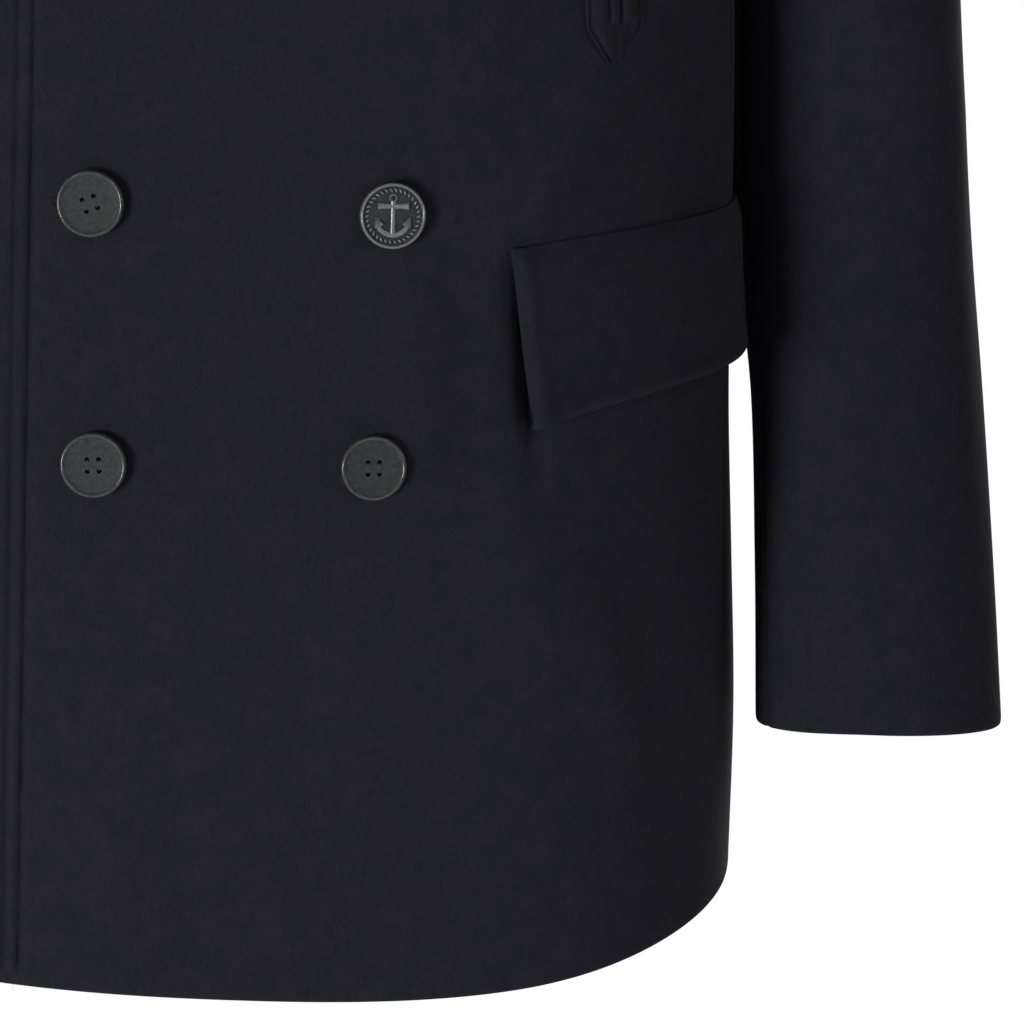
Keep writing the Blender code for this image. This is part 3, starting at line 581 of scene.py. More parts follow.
def rolled(distance, radius, drop):
    """An edge that turns under: it falls by drop in a quarter round of this radius."""
    near = np.clip(1 - distance / radius, 0, 1)
    return -drop * (1 - np.sqrt(1 - near**2))


def grooves(distance):
    """Stitched grooves, the outer one shallower, and the cloth puffed up a little between them."""
    sunk = sum(-GROOVE_DEPTH * pull * hump(distance - row, GROOVE_HALF)
               for row, pull in zip(STITCH_ROWS, GROOVE_PULLS))
    return sunk + PUFF_HEIGHT * hump(distance - sum(STITCH_ROWS) / 2, PUFF_HALF)


def pucker(z):
    """How unevenly a long row of stitches pulls the cloth in, as a factor on its depth."""
    return 1 + sum(share * np.sin(waves * z + phase) for share, waves, phase in PUCKERS)


def creased(s, z, creases):
    """Soft ridges, or troughs where the height is negative; s is metres walked round the form."""
    total = np.zeros(np.broadcast(s, z).shape)
    for start_s, start_z, end_s, end_z, width, rise, bow in creases:
        run_s, run_z = end_s - start_s, end_z - start_z
        length = math.hypot(run_s, run_z)
        along = ((s - start_s) * run_s + (z - start_z) * run_z) / length**2
        across = ((s - start_s) * run_z - (z - start_z) * run_s) / length
        on_line = np.clip(along, 0, 1)
        across = across - bow * 4 * on_line * (1 - on_line)
        fade = ease(*CREASE_RISES, along) * (1 - ease(*CREASE_DIES, along))
        total = total + rise * fade * hump(across, width)
    return total


# %% Where the lines of the grids stand
EDGE_STOPS = np.array([0, 1.2, 2.3, 3.6, 5.4, 7.0, 8.0, 8.8, 9.5, 10.2, 11.0, 11.8, 12.7,
                       13.7, 14.5, 15.3, 16.0, 16.7, 17.5, 18.5, 20.2, 23.0]) / 1000
SEAM_STOPS = np.array([0, 1.2, 2.4, 3.8, 5.6, 8.5]) / 1000
HEM_STOPS = np.array([0, 1.2, 2.0, 2.9, 4.0, 5.4, 7.2, 9.5, 13.0]) / 1000
BODY_HEIGHT = UNDERARM_Z - HEM_Z
EVEN_ROWS, ARMHOLE_ROWS = 68, 30
SHOULDER_ROWS = 1.6  # rows above this level sink into the shoulder seam
SHOULDER_LEVELS = 2 - np.array([0.0052, 0.0105])  # two rows more, close to that seam
FRONT_COLUMNS, BACK_COLUMNS = 88, 46
FRONT_POINTS, BACK_POINTS = 241, 161  # walked along a row, to find its stops
FRONT_RISE, BACK_RISE = 0.205, 0.200  # from the underarm to the shoulder seam


def stops_between(total, first, last, even):
    """Distances from 0 to total: the given ones at each end and even steps between."""
    middle = np.linspace(first[-1], total - last[-1], even + 2)[1:-1]
    return np.concatenate([first, middle, total - last[::-1]])


def torso_levels():
    lower = stops_between(BODY_HEIGHT, HEM_STOPS, np.array([0.0]), EVEN_ROWS) / BODY_HEIGHT
    upper = 1 + (1 + np.cos(np.radians(np.linspace(180, 0, ARMHOLE_ROWS + 1)[1:]))) / 2
    return np.unique(np.concatenate([lower, upper, SHOULDER_LEVELS]))


levels = torso_levels()
print("rows on a body panel:", len(levels))


# %% Which way the cloth sinks beside an armhole
def beside_armhole(out, level, to_end, face):
    """Turns a row's outward directions to the one shared with the sleeve, near its end."""
    if level <= 1:
        return out
    arm = math.degrees(math.acos(np.clip(2 * (level - 1) - 1, -1, 1)))
    mitre = armhole_mitre(arm if face == FRONT else -arm)
    return lerp(out, mitre, hump(to_end, MITRE_REACH)[:, None])


def above_hem(points, face, hand):
    return points[..., 2] - HEM_Z - hem_rise(points[..., 0], face, hand)


def shoulder_seam(level, rise):
    """The seam's hollow on the rows just below the shoulder line, this far above level 1."""
    return seam((2 - level) * rise) if level > SHOULDER_ROWS else 0.0


# %% [markdown]
# ## The fronts
# The left front laps over the right one. It is cut with a nearly straight front edge, which two
# rows of stitching hold flat, up to where the lapel turns back. The creases are what a hanging
# coat gets: a drag from the pocket down to the flap, faint folds below the flap, and a hollow
# round every button, where the shank pulls the cloth in.
# %% Creases of the fronts, and the hollows under the buttons
LEFT_CREASES = (  # start s and z, end s and z, width, height, bow to one side
    (0.1900, -0.370, 0.1080, -0.457, 0.0105, 0.00360, 0.003),
    (0.1250, -0.330, 0.1120, -0.440, 0.0150, -0.00140, 0.000),
    (0.0700, -0.462, 0.0640, -0.590, 0.0140, 0.00160, -0.004),
    (0.0930, -0.470, 0.0980, -0.560, 0.0120, -0.00160, 0.002),
    (0.1150, -0.565, 0.1260, -0.640, 0.0150, 0.00180, 0.002),
    (0.1285, -0.597, 0.1850, -0.696, 0.0150, 0.00260, -0.003),
    (0.0200, -0.600, 0.0330, -0.690, 0.0130, -0.00120, 0.003),
    (0.0480, -0.620, 0.0650, -0.735, 0.0170, 0.00140, 0.004),
    (-0.030, -0.690, -0.0020, -0.765, 0.0180, -0.00100, 0.000),
    (-0.010, -0.380, -0.0200, -0.500, 0.0190, 0.00100, 0.004),
    (0.1760, -0.600, 0.1980, -0.740, 0.0140, -0.00160, 0.002),
    (0.2080, -0.400, 0.2180, -0.560, 0.0120, -0.00200, 0.002),
    (0.1200, -0.250, 0.2050, -0.215, 0.0150, 0.00300, 0.006),
    (0.1330, -0.300, 0.2150, -0.262, 0.0130, -0.00240, 0.005),
    (0.1150, -0.200, 0.1800, -0.120, 0.0160, 0.00220, 0.004),
    (0.1130, -0.462, 0.1232, -0.553, 0.0042, -0.00520, 0.000),
    (0.1190, -0.508, 0.1228, -0.545, 0.0060, -0.00240, 0.000),
)
RIGHT_CREASES = (
    (0.1600, -0.380, 0.1100, -0.452, 0.0130, 0.00200, -0.003),
    (0.0720, -0.440, 0.0600, -0.580, 0.0150, 0.00160, 0.004),
    (0.0980, -0.480, 0.1000, -0.570, 0.0120, -0.00140, -0.002),
    (0.1220, -0.560, 0.1420, -0.660, 0.0160, 0.00180, 0.003),
    (0.0450, -0.600, 0.0600, -0.740, 0.0160, 0.00120, -0.004),
    (0.1700, -0.590, 0.1900, -0.720, 0.0150, -0.00160, 0.002),
    (0.2060, -0.390, 0.2160, -0.550, 0.0120, -0.00180, -0.002),
    (0.1180, -0.256, 0.2040, -0.225, 0.0150, 0.00280, 0.005),
    (0.1300, -0.305, 0.2140, -0.270, 0.0130, -0.00220, 0.006),
    (0.1130, -0.462, 0.1232, -0.553, 0.0042, -0.00480, 0.000),
    (0.1190, -0.505, 0.1228, -0.545, 0.0060, -0.00200, 0.000),
)
BUTTON_ROWS = (  # x and z of the column by the edge, then of the other column
    (-0.0572, -0.5513, 0.0544, -0.5523),
    (-0.0576, -0.4458, 0.0611, -0.4499),
    (-0.0590, -0.3425, 0.0655, -0.3465),
    (-0.0600, -0.2410, 0.0680, -0.2440),
)
HOLLOW_DEPTH, HOLLOW_SPREAD = 0.0005, 0.0105


def button_hollows(x, z):
    total = np.zeros(np.shape(x))
    for row in BUTTON_ROWS:
        for bx, bz in (row[:2], row[2:]):
            total -= HOLLOW_DEPTH * hump(np.hypot(x - bx, z - bz), HOLLOW_SPREAD)
    return total


# %% Both fronts
GROOVES_FROM, GROOVES_FULL = 0.004, 0.010  # heights above the hem
LAPEL_BREAK_HALF = 0.006


def front_skin(hand, creases):
    skin, outs = [], []
    for level in levels:
        angles = np.linspace(angle_at(inner_x(level), level), end_angle(level), FRONT_POINTS)
        lengths = walked(torso(angles, level, FRONT, hand))
        stops = stops_between(lengths[-1], EDGE_STOPS, SEAM_STOPS, FRONT_COLUMNS)
        to_end = lengths[-1] - stops
        here = np.interp(stops, lengths, angles)
        points, out = torso(here, level, FRONT, hand), torso_out(here, level, FRONT)
        if hand == 1:
            points = points + out * overlap_lift(points[:, 0], points[:, 2])[:, None]
        x, z = points[:, 0], points[:, 2]
        above = above_hem(points, FRONT, hand)
        sewn = grooves(stops) * pucker(z) * ease(GROOVES_FROM, GROOVES_FULL, above)
        open_edge = 1 - ease(BREAK_Z - LAPEL_BREAK_HALF, BREAK_Z + LAPEL_BREAK_HALF, z)
        relief = (sewn + rolled(stops, EDGE_ROLL, EDGE_DROP)) * open_edge
        relief = relief + seam(to_end) + rolled(above, HEM_ROLL, HEM_DROP) * (level <= 1)
        relief = relief + creased(stops + x[0], z, creases) * ease(0, CREASE_FADE, to_end)
        relief = relief + shoulder_seam(level, FRONT_RISE)
        if hand == 1:
            relief = relief + button_hollows(x, z)
        out = beside_armhole(out, level, to_end, FRONT)
        skin.append(points + out * relief[:, None])
        outs.append(out)
    return handed(skin, outs, hand)


for (side, hand), creases in zip(HANDS, (LEFT_CREASES, RIGHT_CREASES)):
    make_panel(f"front_{side}", *front_skin(hand, creases), "end", "last")

# %% [markdown]
# ## The backs
# Two backs meet in a centre seam. The cloth falls from the shoulder blades, so it has a few long
# upright folds towards the hem and drags that run up to the armholes.
# %% Both backs
BACK_CREASES = {
    1: (
        (0.0620, -0.420, 0.0780, -0.740, 0.0200, 0.00304, 0.006),
        (0.0980, -0.470, 0.1120, -0.750, 0.0170, -0.00247, -0.004),
        (0.1420, -0.440, 0.1500, -0.700, 0.0200, 0.00247, 0.005),
        (0.0250, -0.360, 0.0850, -0.300, 0.0140, -0.00209, 0.003),
        (0.0300, -0.395, 0.1100, -0.345, 0.0150, 0.00228, 0.004),
        (0.1180, -0.220, 0.1800, -0.290, 0.0150, 0.00323, -0.004),
        (0.1050, -0.255, 0.1680, -0.330, 0.0130, -0.00228, -0.004),
        (0.0700, -0.080, 0.1350, -0.140, 0.0170, -0.00171, 0.004),
    ),
    -1: (
        (0.0560, -0.450, 0.0680, -0.730, 0.0190, 0.00285, -0.005),
        (0.0900, -0.430, 0.1030, -0.720, 0.0180, -0.00228, 0.005),
        (0.1320, -0.480, 0.1480, -0.745, 0.0180, 0.00266, 0.004),
        (0.0200, -0.350, 0.0780, -0.310, 0.0140, -0.00190, -0.003),
        (0.0260, -0.410, 0.1000, -0.355, 0.0150, 0.00209, 0.004),
        (0.1150, -0.230, 0.1820, -0.300, 0.0150, 0.00304, 0.004),
        (0.0740, -0.090, 0.1380, -0.150, 0.0160, -0.00171, -0.003),
    ),
}
CENTRE_SHARES = np.array([0, 0.015, 0.030, 0.048, 0.072, 0.105])
NECK_COLUMNS, NECK_WALK = 24, 1.03  # the walk to the neck's side, as a factor on its half width


def neck_share(x):
    """How much of the rise to the shoulder line a back column has below the neckline."""
    y = NECK_BACK * np.sqrt(np.maximum(1 - (x / NECK_HALF) ** 2, 0))
    across, rise = np.ones_like(x), np.ones_like(x)
    for _ in range(8):
        rise = rounding(y / (TORSO_RINGS[-1, 3] * across), BACK_RISE_POWER)
        across = rounding(x / half_width(1 + rise), SECTION_POWER)
    return rise


def back_skin(hand):
    bow = np.sin(np.linspace(math.asin(CENTRE_SHARES[-1]), math.pi / 2, NECK_COLUMNS)[1:])
    x_neck = NECK_HALF * np.concatenate([CENTRE_SHARES, bow])
    shares = neck_share(x_neck)
    skin, outs = [], []
    for level in levels:
        neck_levels = np.where(level > 1, 1 + (level - 1) * shares, level)
        near = angle_at(x_neck, neck_levels)
        fine = np.linspace(angle_at(NECK_HALF, level), end_angle(level), BACK_POINTS)
        lengths = walked(torso(fine, level, BACK))
        stops = stops_between(lengths[-1], np.array([0.0]), SEAM_STOPS, BACK_COLUMNS)[1:]
        angles = np.concatenate([near, np.interp(stops, lengths, fine)])
        here = np.concatenate([neck_levels, np.full(len(stops), level)])
        points, out = torso(angles, here, BACK), torso_out(angles, here, BACK)
        s = np.concatenate([x_neck, NECK_HALF * NECK_WALK + stops])
        to_end = s[-1] - s
        above = above_hem(points, BACK, hand)
        relief = seam(points[:, 0]) + seam(to_end)
        relief = relief + rolled(above, HEM_ROLL, HEM_DROP) * (level <= 1)
        folds = creased(s, points[:, 2], BACK_CREASES[hand])
        relief = relief + folds * ease(0, CREASE_FADE, to_end)
        relief = relief + shoulder_seam(level, BACK_RISE) * (s > NECK_HALF)
        out = beside_armhole(out, level, to_end, BACK)
        skin.append(points + out * relief[:, None])
        outs.append(out)
    return handed(skin, outs, hand)


for side, hand in HANDS:
    make_panel(f"back_{side}", *back_skin(hand), "start", "end", "last")

# %% [markdown]
# ## The sleeves
# A coat sleeve has two pieces: a wide topsleeve and a narrow undersleeve, with seams behind the
# front fold and at the back. The cloth drags a little at the elbow and under the arm, and the
# cuff is only turned up inside, so its edge rolls.
# %% Both sleeves
SLEEVE_RADIUS = 0.055  # makes metres of the degrees round a sleeve
SLEEVE_PARTS = (("topsleeve", -90, 165), ("undersleeve", 165, 270))  # from seam to seam, degrees
DEGREES_APART, SLEEVE_ROWS = 2.2, 84
SEAM_DEGREES = np.array([0, 1.3, 2.6, 4.2, 6.4, 9.5])
SEAM_FADE = 0.012  # creases die out this far from a sleeve's seam
TOP_PLACES = np.array([0, 0.06, 0.13, 0.22, 0.34, 0.50, 0.72, 1.0])
CUFF_METRES = 0.066  # from the last station but one to the cuff
CUFF_SAG = 0.0024  # how much lower the cuff hangs beside the body
SAG_X, SAG_HEIGHT = (0.222, 0.275), 0.050  # where the sag dies out, outwards and upwards
SLEEVE_CREASES = (
    (0.030, -0.175, 0.090, -0.235, 0.0130, 0.00255, 0.004),
    (0.050, -0.225, 0.115, -0.275, 0.0120, -0.00204, 0.003),
    (0.040, -0.400, 0.105, -0.372, 0.0120, 0.00204, -0.003),
    (0.060, -0.432, 0.130, -0.408, 0.0110, -0.00187, 0.003),
    (-0.060, -0.395, 0.000, -0.432, 0.0150, 0.00153, 0.004),
    (0.075, -0.150, 0.090, -0.380, 0.0130, 0.00170, 0.003),
    (0.020, -0.450, 0.034, -0.640, 0.0160, -0.00119, 0.003),
    (0.100, -0.480, 0.104, -0.650, 0.0120, 0.00119, -0.002),
    (-0.050, -0.180, -0.020, -0.330, 0.0160, -0.00153, 0.003),
    (0.190, -0.420, 0.250, -0.395, 0.0120, 0.00170, 0.002),
    (0.180, -0.370, 0.245, -0.350, 0.0110, -0.00170, 0.002),
    (0.170, -0.350, 0.176, -0.520, 0.0150, 0.00221, 0.000),
)


def sleeve_skin(start, end, hand):
    even = np.linspace(start + SEAM_DEGREES[-1], end - SEAM_DEGREES[-1],
                       round((end - start) / DEGREES_APART))
    angles = np.concatenate([start + SEAM_DEGREES[:-1], even, end - SEAM_DEGREES[-2::-1]])
    cuff = LAST_STATION - HEM_STOPS[::-1] / CUFF_METRES
    places = np.concatenate([TOP_PLACES, np.linspace(1, cuff[0], SLEEVE_ROWS)[1:-1], cuff])
    grid_a, grid_p = np.meshgrid(angles, places)
    points, out = sleeve(grid_a, grid_p), sleeve_out(grid_a, grid_p)
    steps = np.linalg.norm(np.diff(points, axis=0, prepend=points[:1]), axis=-1)
    down = np.cumsum(steps, axis=0)
    to_cuff = down[-1] - down
    beside_body = 1 - ease(*SAG_X, points[..., 0])
    points[..., 2] -= CUFF_SAG * beside_body * (1 - ease(0, SAG_HEIGHT, to_cuff))
    to_seam = np.radians(np.minimum(grid_a - start, end - grid_a)) * SLEEVE_RADIUS
    relief = seam(to_seam) + seam(down) + rolled(to_cuff, HEM_ROLL, HEM_DROP)
    folds = creased(np.radians(grid_a) * SLEEVE_RADIUS, points[..., 2], SLEEVE_CREASES)
    relief = relief + folds * ease(0, CREASE_FADE, down) * ease(0, SEAM_FADE, to_seam)
    out = lerp(out, armhole_mitre(angles)[None], hump(down, MITRE_REACH)[..., None])
    return handed(points + out * relief[..., None], out, hand)


for side, hand in HANDS:
    for part, start, end in SLEEVE_PARTS:
        make_panel(f"{part}_{side}", *sleeve_skin(start, end, hand), "start", "end", "first")

# %% [markdown]
# ## The hip pocket flaps
# A flap is two layers of melton, sewn together inside out, turned and pressed, so it is thicker
# than the coat and its edges are fat rolls. Only the upper edge is sewn down. It hangs from there,
# stands off the coat at its lower front corner and wraps round towards the side seam.
# %% Both flaps
FLAP_CLOTH, FLAP_SHELL, FLAP_RIM = 0.0030, 0.0026, 0.0010
FLAP_ROWS, FLAP_COLUMNS = 12, 40
FLAP_TOP_Z, FLAP_FRONT_X = -0.4645, 0.1088
FLAP_HEIGHT, FLAP_LENGTH, FLAP_SLANT = 0.074, 0.170, 0.0076
FLAP_TOP_RISE, FLAP_LOW_RISE, FLAP_RISE_POWER = 0.0065, 0.0125, 3.5
FLAP_LIFT, FLAP_REAR_LIFT = 0.0052, 0.0046
FLAP_ROLL, FLAP_DROP, FLAP_CURL = 0.0050, 0.0030, 0.0028
FLAP_PUFF, FLAP_PUFF_IN, FLAP_PUFF_HALF = 0.0015, 0.0052, 0.0030
FLAP_PRESSED, PRESSED_HALF = 0.0018, 0.0060  # the iron flattens the seam of its upper edge
FLAP_SEAM = 0.4  # how deep that seam is, as a share of a plain one
FLAP_STOPS = np.array([0, 1.1, 1.8, 2.6, 3.5, 4.6, 6.5, 9.0]) / 1000
FLAP_CREASES = (
    (0.020, 0.020, 0.095, 0.052, 0.0140, 0.00060, 0.003),
    (0.060, 0.012, 0.150, 0.030, 0.0120, -0.00050, 0.002),
    (0.008, 0.030, 0.012, 0.066, 0.0050, 0.00035, 0.000),
)


def puffed(distance):
    """The allowance folded inside swells the cloth a few millimetres in from a turned edge."""
    return FLAP_PUFF * hump(distance - FLAP_PUFF_IN, FLAP_PUFF_HALF)


def flap_skin(hand):
    downs = stops_between(FLAP_HEIGHT, FLAP_STOPS[:5], FLAP_STOPS, FLAP_ROWS) / FLAP_HEIGHT
    alongs = stops_between(FLAP_LENGTH, FLAP_STOPS, FLAP_STOPS, FLAP_COLUMNS) / FLAP_LENGTH
    skin, outs = [], []
    for down in downs:
        level = float(level_at(FLAP_FRONT_X, FLAP_TOP_Z - FLAP_HEIGHT * down, FRONT))
        fine = np.linspace(angle_at(FLAP_FRONT_X + FLAP_SLANT * down, level), 90, FRONT_POINTS)
        length = FLAP_LENGTH - FLAP_SLANT * down
        walk, hang = alongs * length, np.full(len(alongs), down * FLAP_HEIGHT)
        angles = np.interp(walk, walked(torso(fine, level, FRONT)), fine)
        rise = lerp(FLAP_TOP_RISE, FLAP_LOW_RISE, down) * (1 - (1 - alongs) ** FLAP_RISE_POWER)
        here = level + rise / BODY_HEIGHT
        points, out = torso(angles, here, FRONT), torso_out(angles, here, FRONT)
        lift = LAYER_GAP + FACET_ROOM / 3 + lerp(FLAP_LIFT, FLAP_REAR_LIFT, alongs) * down**1.3
        lift = lift + FLAP_CURL * down**5 * (1 - alongs) ** 1.5
        if hand == 1:
            lift = lift + overlap_lift(points[:, 0], points[:, 2])
        relief = sum(rolled(to_edge, FLAP_ROLL, FLAP_DROP)
                     for to_edge in (walk, length - walk, FLAP_HEIGHT - hang))
        relief = relief + FLAP_SEAM * seam(hang) + creased(walk, hang, FLAP_CREASES)
        relief = relief - FLAP_PRESSED * hump(hang, PRESSED_HALF)
        relief = relief + puffed(walk) + puffed(FLAP_HEIGHT - hang) * (1 - alongs) ** 0.5
        skin.append(points + out * (lift + FLAP_CLOTH + relief)[:, None])
        outs.append(out)
    return handed(skin, outs, hand)


for side, hand in HANDS:
    make_panel(f"flap_{side}", *flap_skin(hand), thickness=FLAP_SHELL, rim=FLAP_RIM)

# %% [markdown]
# ## The lapels
# A lapel is the upper corner of the front, turned back along the roll line. It springs from the
# fold in a soft roll, lies flat on the chest and has the same two rows of stitching inside its
# edge. One row of the grid runs across it, from under the fold to the outer edge.
# %% The lapels' outline and roll
NOTCH, LAPEL_TIP = (0.102, -0.066), (0.146, -0.108)
LAPEL_START, LAPEL_TIP_SHARE, LAPEL_BELLY = 0.03, 0.66, 0.008
RIGHT_LAPEL_SHOWS, ROLL_HEIGHT = 0.64, 0.0046
FOLD_KNOTS, FLAT_KNOT = 7, 6
FOLD_COLUMNS, LAPEL_COLUMNS = 25, 18
FOLD_END = (4.4, 5.4)  # the knots between which the fold becomes the flat of the lapel
ROLL_WIDTH = 0.2  # the share of the lapel over which the right one comes to show
FULL_WIDTH = 0.036  # a lapel narrower than this has its edge's columns closer together


def roll_profile(bulge):
    clear = SEAM_GAP + CLOTH / 2
    flat = LAYER_GAP + FACET_ROOM + CLOTH / 2
    top = lerp(flat, ROLL_HEIGHT, bulge)
    return np.array([
        (-clear, -CLOTH / 2),
        (-clear - 0.0010, top * 0.25),
        (-clear - 0.0006, top * 0.70),
        (-0.0002, top),
        (0.0040, top),
        (0.0110, lerp(flat, top, 0.45)),
        (0.0200, flat),
    ])


def lapel_outline(place):
    if place <= LAPEL_TIP_SHARE:
        f = place / LAPEL_TIP_SHARE
        x, z = lerp(BREAK_X, LAPEL_TIP[0], f), lerp(BREAK_Z, LAPEL_TIP[1], f)
        return x, z - LAPEL_BELLY * math.sin(math.pi * f)
    f = (place - LAPEL_TIP_SHARE) / (1 - LAPEL_TIP_SHARE)
    return lerp(LAPEL_TIP[0], NOTCH[0], f), lerp(LAPEL_TIP[1], NOTCH[1], f)


def fold_row(place, hand, edge_stops=EDGE_STOPS):
    """Middle-line points across a lapel, their panel's outward directions, and knot numbers."""
    z = lerp(BREAK_Z, ROLL_END_Z, place)
    x = roll_x(z)
    end_x, end_z = lapel_outline(place)
    width = math.hypot(end_x - x, end_z - z)
    hidden = 0.0 if hand == 1 else RIGHT_LAPEL_SHOWS
    profile = roll_profile(float(ease(hidden, hidden + ROLL_WIDTH, place)))
    fit = min(1, 0.5 * width / profile[-1, 0])
    across = np.where(profile[:, 0] > 0, profile[:, 0] * fit, profile[:, 0])
    knots = np.arange(FOLD_KNOTS)
    table = np.column_stack([knots, across, profile[:, 1]])
    folding = np.linspace(0, FLAT_KNOT, FOLD_COLUMNS)
    flat_width = width - across[-1]
    outer = edge_stops * min(1, flat_width / FULL_WIDTH)
    stops = stops_between(flat_width, np.array([0.0]), outer, LAPEL_COLUMNS)[1:]
    walk = np.concatenate([spline(table, 1)(folding), across[-1] + stops])
    off = np.concatenate([spline(table, 2)(folding), np.full(len(stops), profile[-1, 1])])
    number = np.concatenate([folding, FLAT_KNOT + stops / flat_width])
    f = walk / width
    point, out = panel_point(lerp(x, end_x, f), lerp(z, end_z, f), hand)
    return point + out * off[:, None], out, number


def distance_to(points, line):
    """How far each point is from the nearest point of a finely divided line."""
    quarters = [lerp(line[:-1], line[1:], f) for f in (0, 0.25, 0.5, 0.75)]
    fine = np.concatenate([*quarters, line[-1:]])
    nearest = [np.sqrt(((part[:, None] - fine[None]) ** 2).sum(-1).min(1))
               for part in np.array_split(points.reshape(-1, 3), 40)]
    return np.concatenate(nearest).reshape(points.shape[:-1])


# %% Both lapels
LAPEL_PLACES = np.concatenate([
    np.linspace(LAPEL_START, LAPEL_TIP_SHARE, 66),
    lerp(LAPEL_TIP_SHARE, 1, np.array([0.03, 0.07, 0.12, 0.2, 0.28, 0.36, 0.44, 0.52, 0.6, 0.68,
                                       0.76, 0.84, 0.9, 0.94, 0.97, 0.985, 1.0])),
])
TURNED_ROLL = 0.0032  # a turned edge of two layers rolls a little wider than the front's
edges = {}  # the outer edge of each panel that is stitched inside it


def lapel_skin(name, hand):
    rows = [fold_row(place, hand) for place in LAPEL_PLACES]
    middle, panel_out, number = (np.array(part) for part in zip(*rows))
    out = unit(np.cross(np.gradient(middle, axis=1), np.gradient(middle, axis=0)))
    flat = number >= FLAT_KNOT
    out = out * np.sign((out * panel_out)[flat].sum())
    out = unit(lerp(out, panel_out, ease(*FOLD_END, number)[..., None]))
    edge = middle[:, -1]
    to_edge = np.where(flat, distance_to(middle, edge), 1.0)
    gorge = np.linalg.norm(middle - middle[-1], axis=-1)
    relief = grooves(to_edge) + rolled(to_edge, TURNED_ROLL, EDGE_DROP) + seam(gorge)
    edges[name] = edge
    return middle + out * (CLOTH / 2 + relief)[..., None], out


for side, hand in HANDS:
    make_panel(f"lapel_{side}", *lapel_skin(f"lapel_{side}", hand), "last")

# %% [markdown]
# ## The collar
# The collar is one piece that stands up round the neck, folds over and falls on the shoulders. Its
# ends are sewn to the lapels as far as the notch. A few rows of control points, from the neck
# seam up, over the fold and down to the edge, are joined by smooth curves both ways.
# %% Lines of the collar
COLLAR_STATIONS = np.array([  # place, neck angle, stand height, edge x, edge y
    (-0.20, -32, 0.0400, -0.050, 0.0920),
    (0.00, 0, 0.0440, 0.000, 0.0970),
    (0.20, 32, 0.0400, 0.050, 0.0920),
    (0.40, 58, 0.0345, 0.097, 0.0700),
    (0.60, 82, 0.0270, 0.131, 0.0290),
    (0.80, 110, 0.0165, 0.147, -0.0280),
    (1.00, 140, 0.0040, 0.143, -0.0830),
])
collar_curves = [spline(COLLAR_STATIONS, column) for column in range(1, 5)]
COLLAR_TIP, COLLAR_ROLL_RADIUS, COLLAR_ROOM = (0.141, -0.060), 0.0026, 0.0020
STAND_GAP, STAND_LEAN, COLLAR_STEPS, FALL_STEPS = 0.0018, 0.10, 11, 7
COLLAR_TURNS = (120, 60, 0)  # degrees round the fold
FALL_BEND, FALL_SINK = 0.45, 0.20  # where the fall bends, and how far down it is there
NECK_DIP = -0.25  # how steeply the neck's inside falls in front


def neck_edge(angle):
    """(point, outward, into the neck) on the panels' neckline, 0 at the back centre."""
    up = np.array([0.0, 0.0, 1.0])
    if angle <= 90:
        a = math.radians(angle)
        x = NECK_HALF * math.sin(a)
        level = 1 + float(neck_share(np.array([x]))[0]) if x < NECK_HALF * 0.9999 else 2.0
        return torso(angle_at(x, level), level, BACK), up, -np.array([math.sin(a), math.cos(a), 0])
    f = (angle - 90) / (COLLAR_STATIONS[-1, 1] - 90)
    level = lerp(2, ROLL_END_LEVEL, f)
    turn = angle_at(inner_x(level), level)
    out = unit(lerp(up, torso_out(turn, level, FRONT), f))
    return torso(turn, level, FRONT), out, unit(np.array([-1.0, 0.0, NECK_DIP * f]))


def top_point(x, y):
    """(point, outward) of the form seen from above, near the shoulder line."""
    face, power, column = (BACK, BACK_RISE_POWER, 3) if y > 0 else (FRONT, FRONT_RISE_POWER, 2)
    rise = 0.8
    for _ in range(12):
        across = rounding(min(abs(x) / float(half_width(1 + rise)), 0.999), SECTION_POWER)
        rise = rounding(min(abs(y) / (TORSO_RINGS[-1, column] * across), 1), power)
    turn = angle_at(x, 1 + rise)
    return torso(turn, 1 + rise, face), torso_out(turn, min(1 + rise, 1.9999), face)


def collar_line(place):
    angle, stand, edge_at_x, edge_at_y = (float(curve(place)) for curve in collar_curves)
    seam_point, up, inward = neck_edge(angle)
    up = unit(up + inward * STAND_LEAN)
    start = seam_point + inward * (STAND_GAP + CLOTH / 2) - up * CLOTH / 2
    top = start + up * (stand + CLOTH)
    line = [start, lerp(start, top, 0.5), top]
    for turn in COLLAR_TURNS:
        a = math.radians(turn)
        line.append(top + (up * math.sin(a) - inward * (1 + math.cos(a))) * COLLAR_ROLL_RADIUS)
    edge, edge_out = top_point(edge_at_x, edge_at_y)
    rest = LAYER_GAP + COLLAR_ROOM + CLOTH / 2
    begin, end = line[-1], edge + edge_out * rest
    bend = lerp(begin, end, FALL_BEND)
    bend[2] = lerp(begin[2], end[2], FALL_SINK)
    for step in range(1, FALL_STEPS + 1):
        f = step / FALL_STEPS
        point = lerp(lerp(begin, bend, f), lerp(bend, end, f), f)
        form, form_out = top_point(point[0], point[1])
        line.append(point + form_out * max(rest - float((point - form) @ form_out), 0))
    return line


def collar_end(hand):
    """The end row: along the lapel's own end to the notch, then on to the collar's tip."""
    points, _, number = fold_row(1, hand, edge_stops=np.array([0.0]))
    flat = [FLAT_KNOT + f for f in (0.25, 0.5, 0.75, 1.0)]
    line = list(read_at([*range(FOLD_KNOTS), *flat], number, points))
    for f in (0.5, 1):
        x, z = lerp(NOTCH[0], COLLAR_TIP[0], f), lerp(NOTCH[1], COLLAR_TIP[1], f)
        point, out = panel_point(np.array(x), np.array(z), hand)
        line.append(point + out * (LAYER_GAP + FACET_ROOM + CLOTH / 2))
    return line


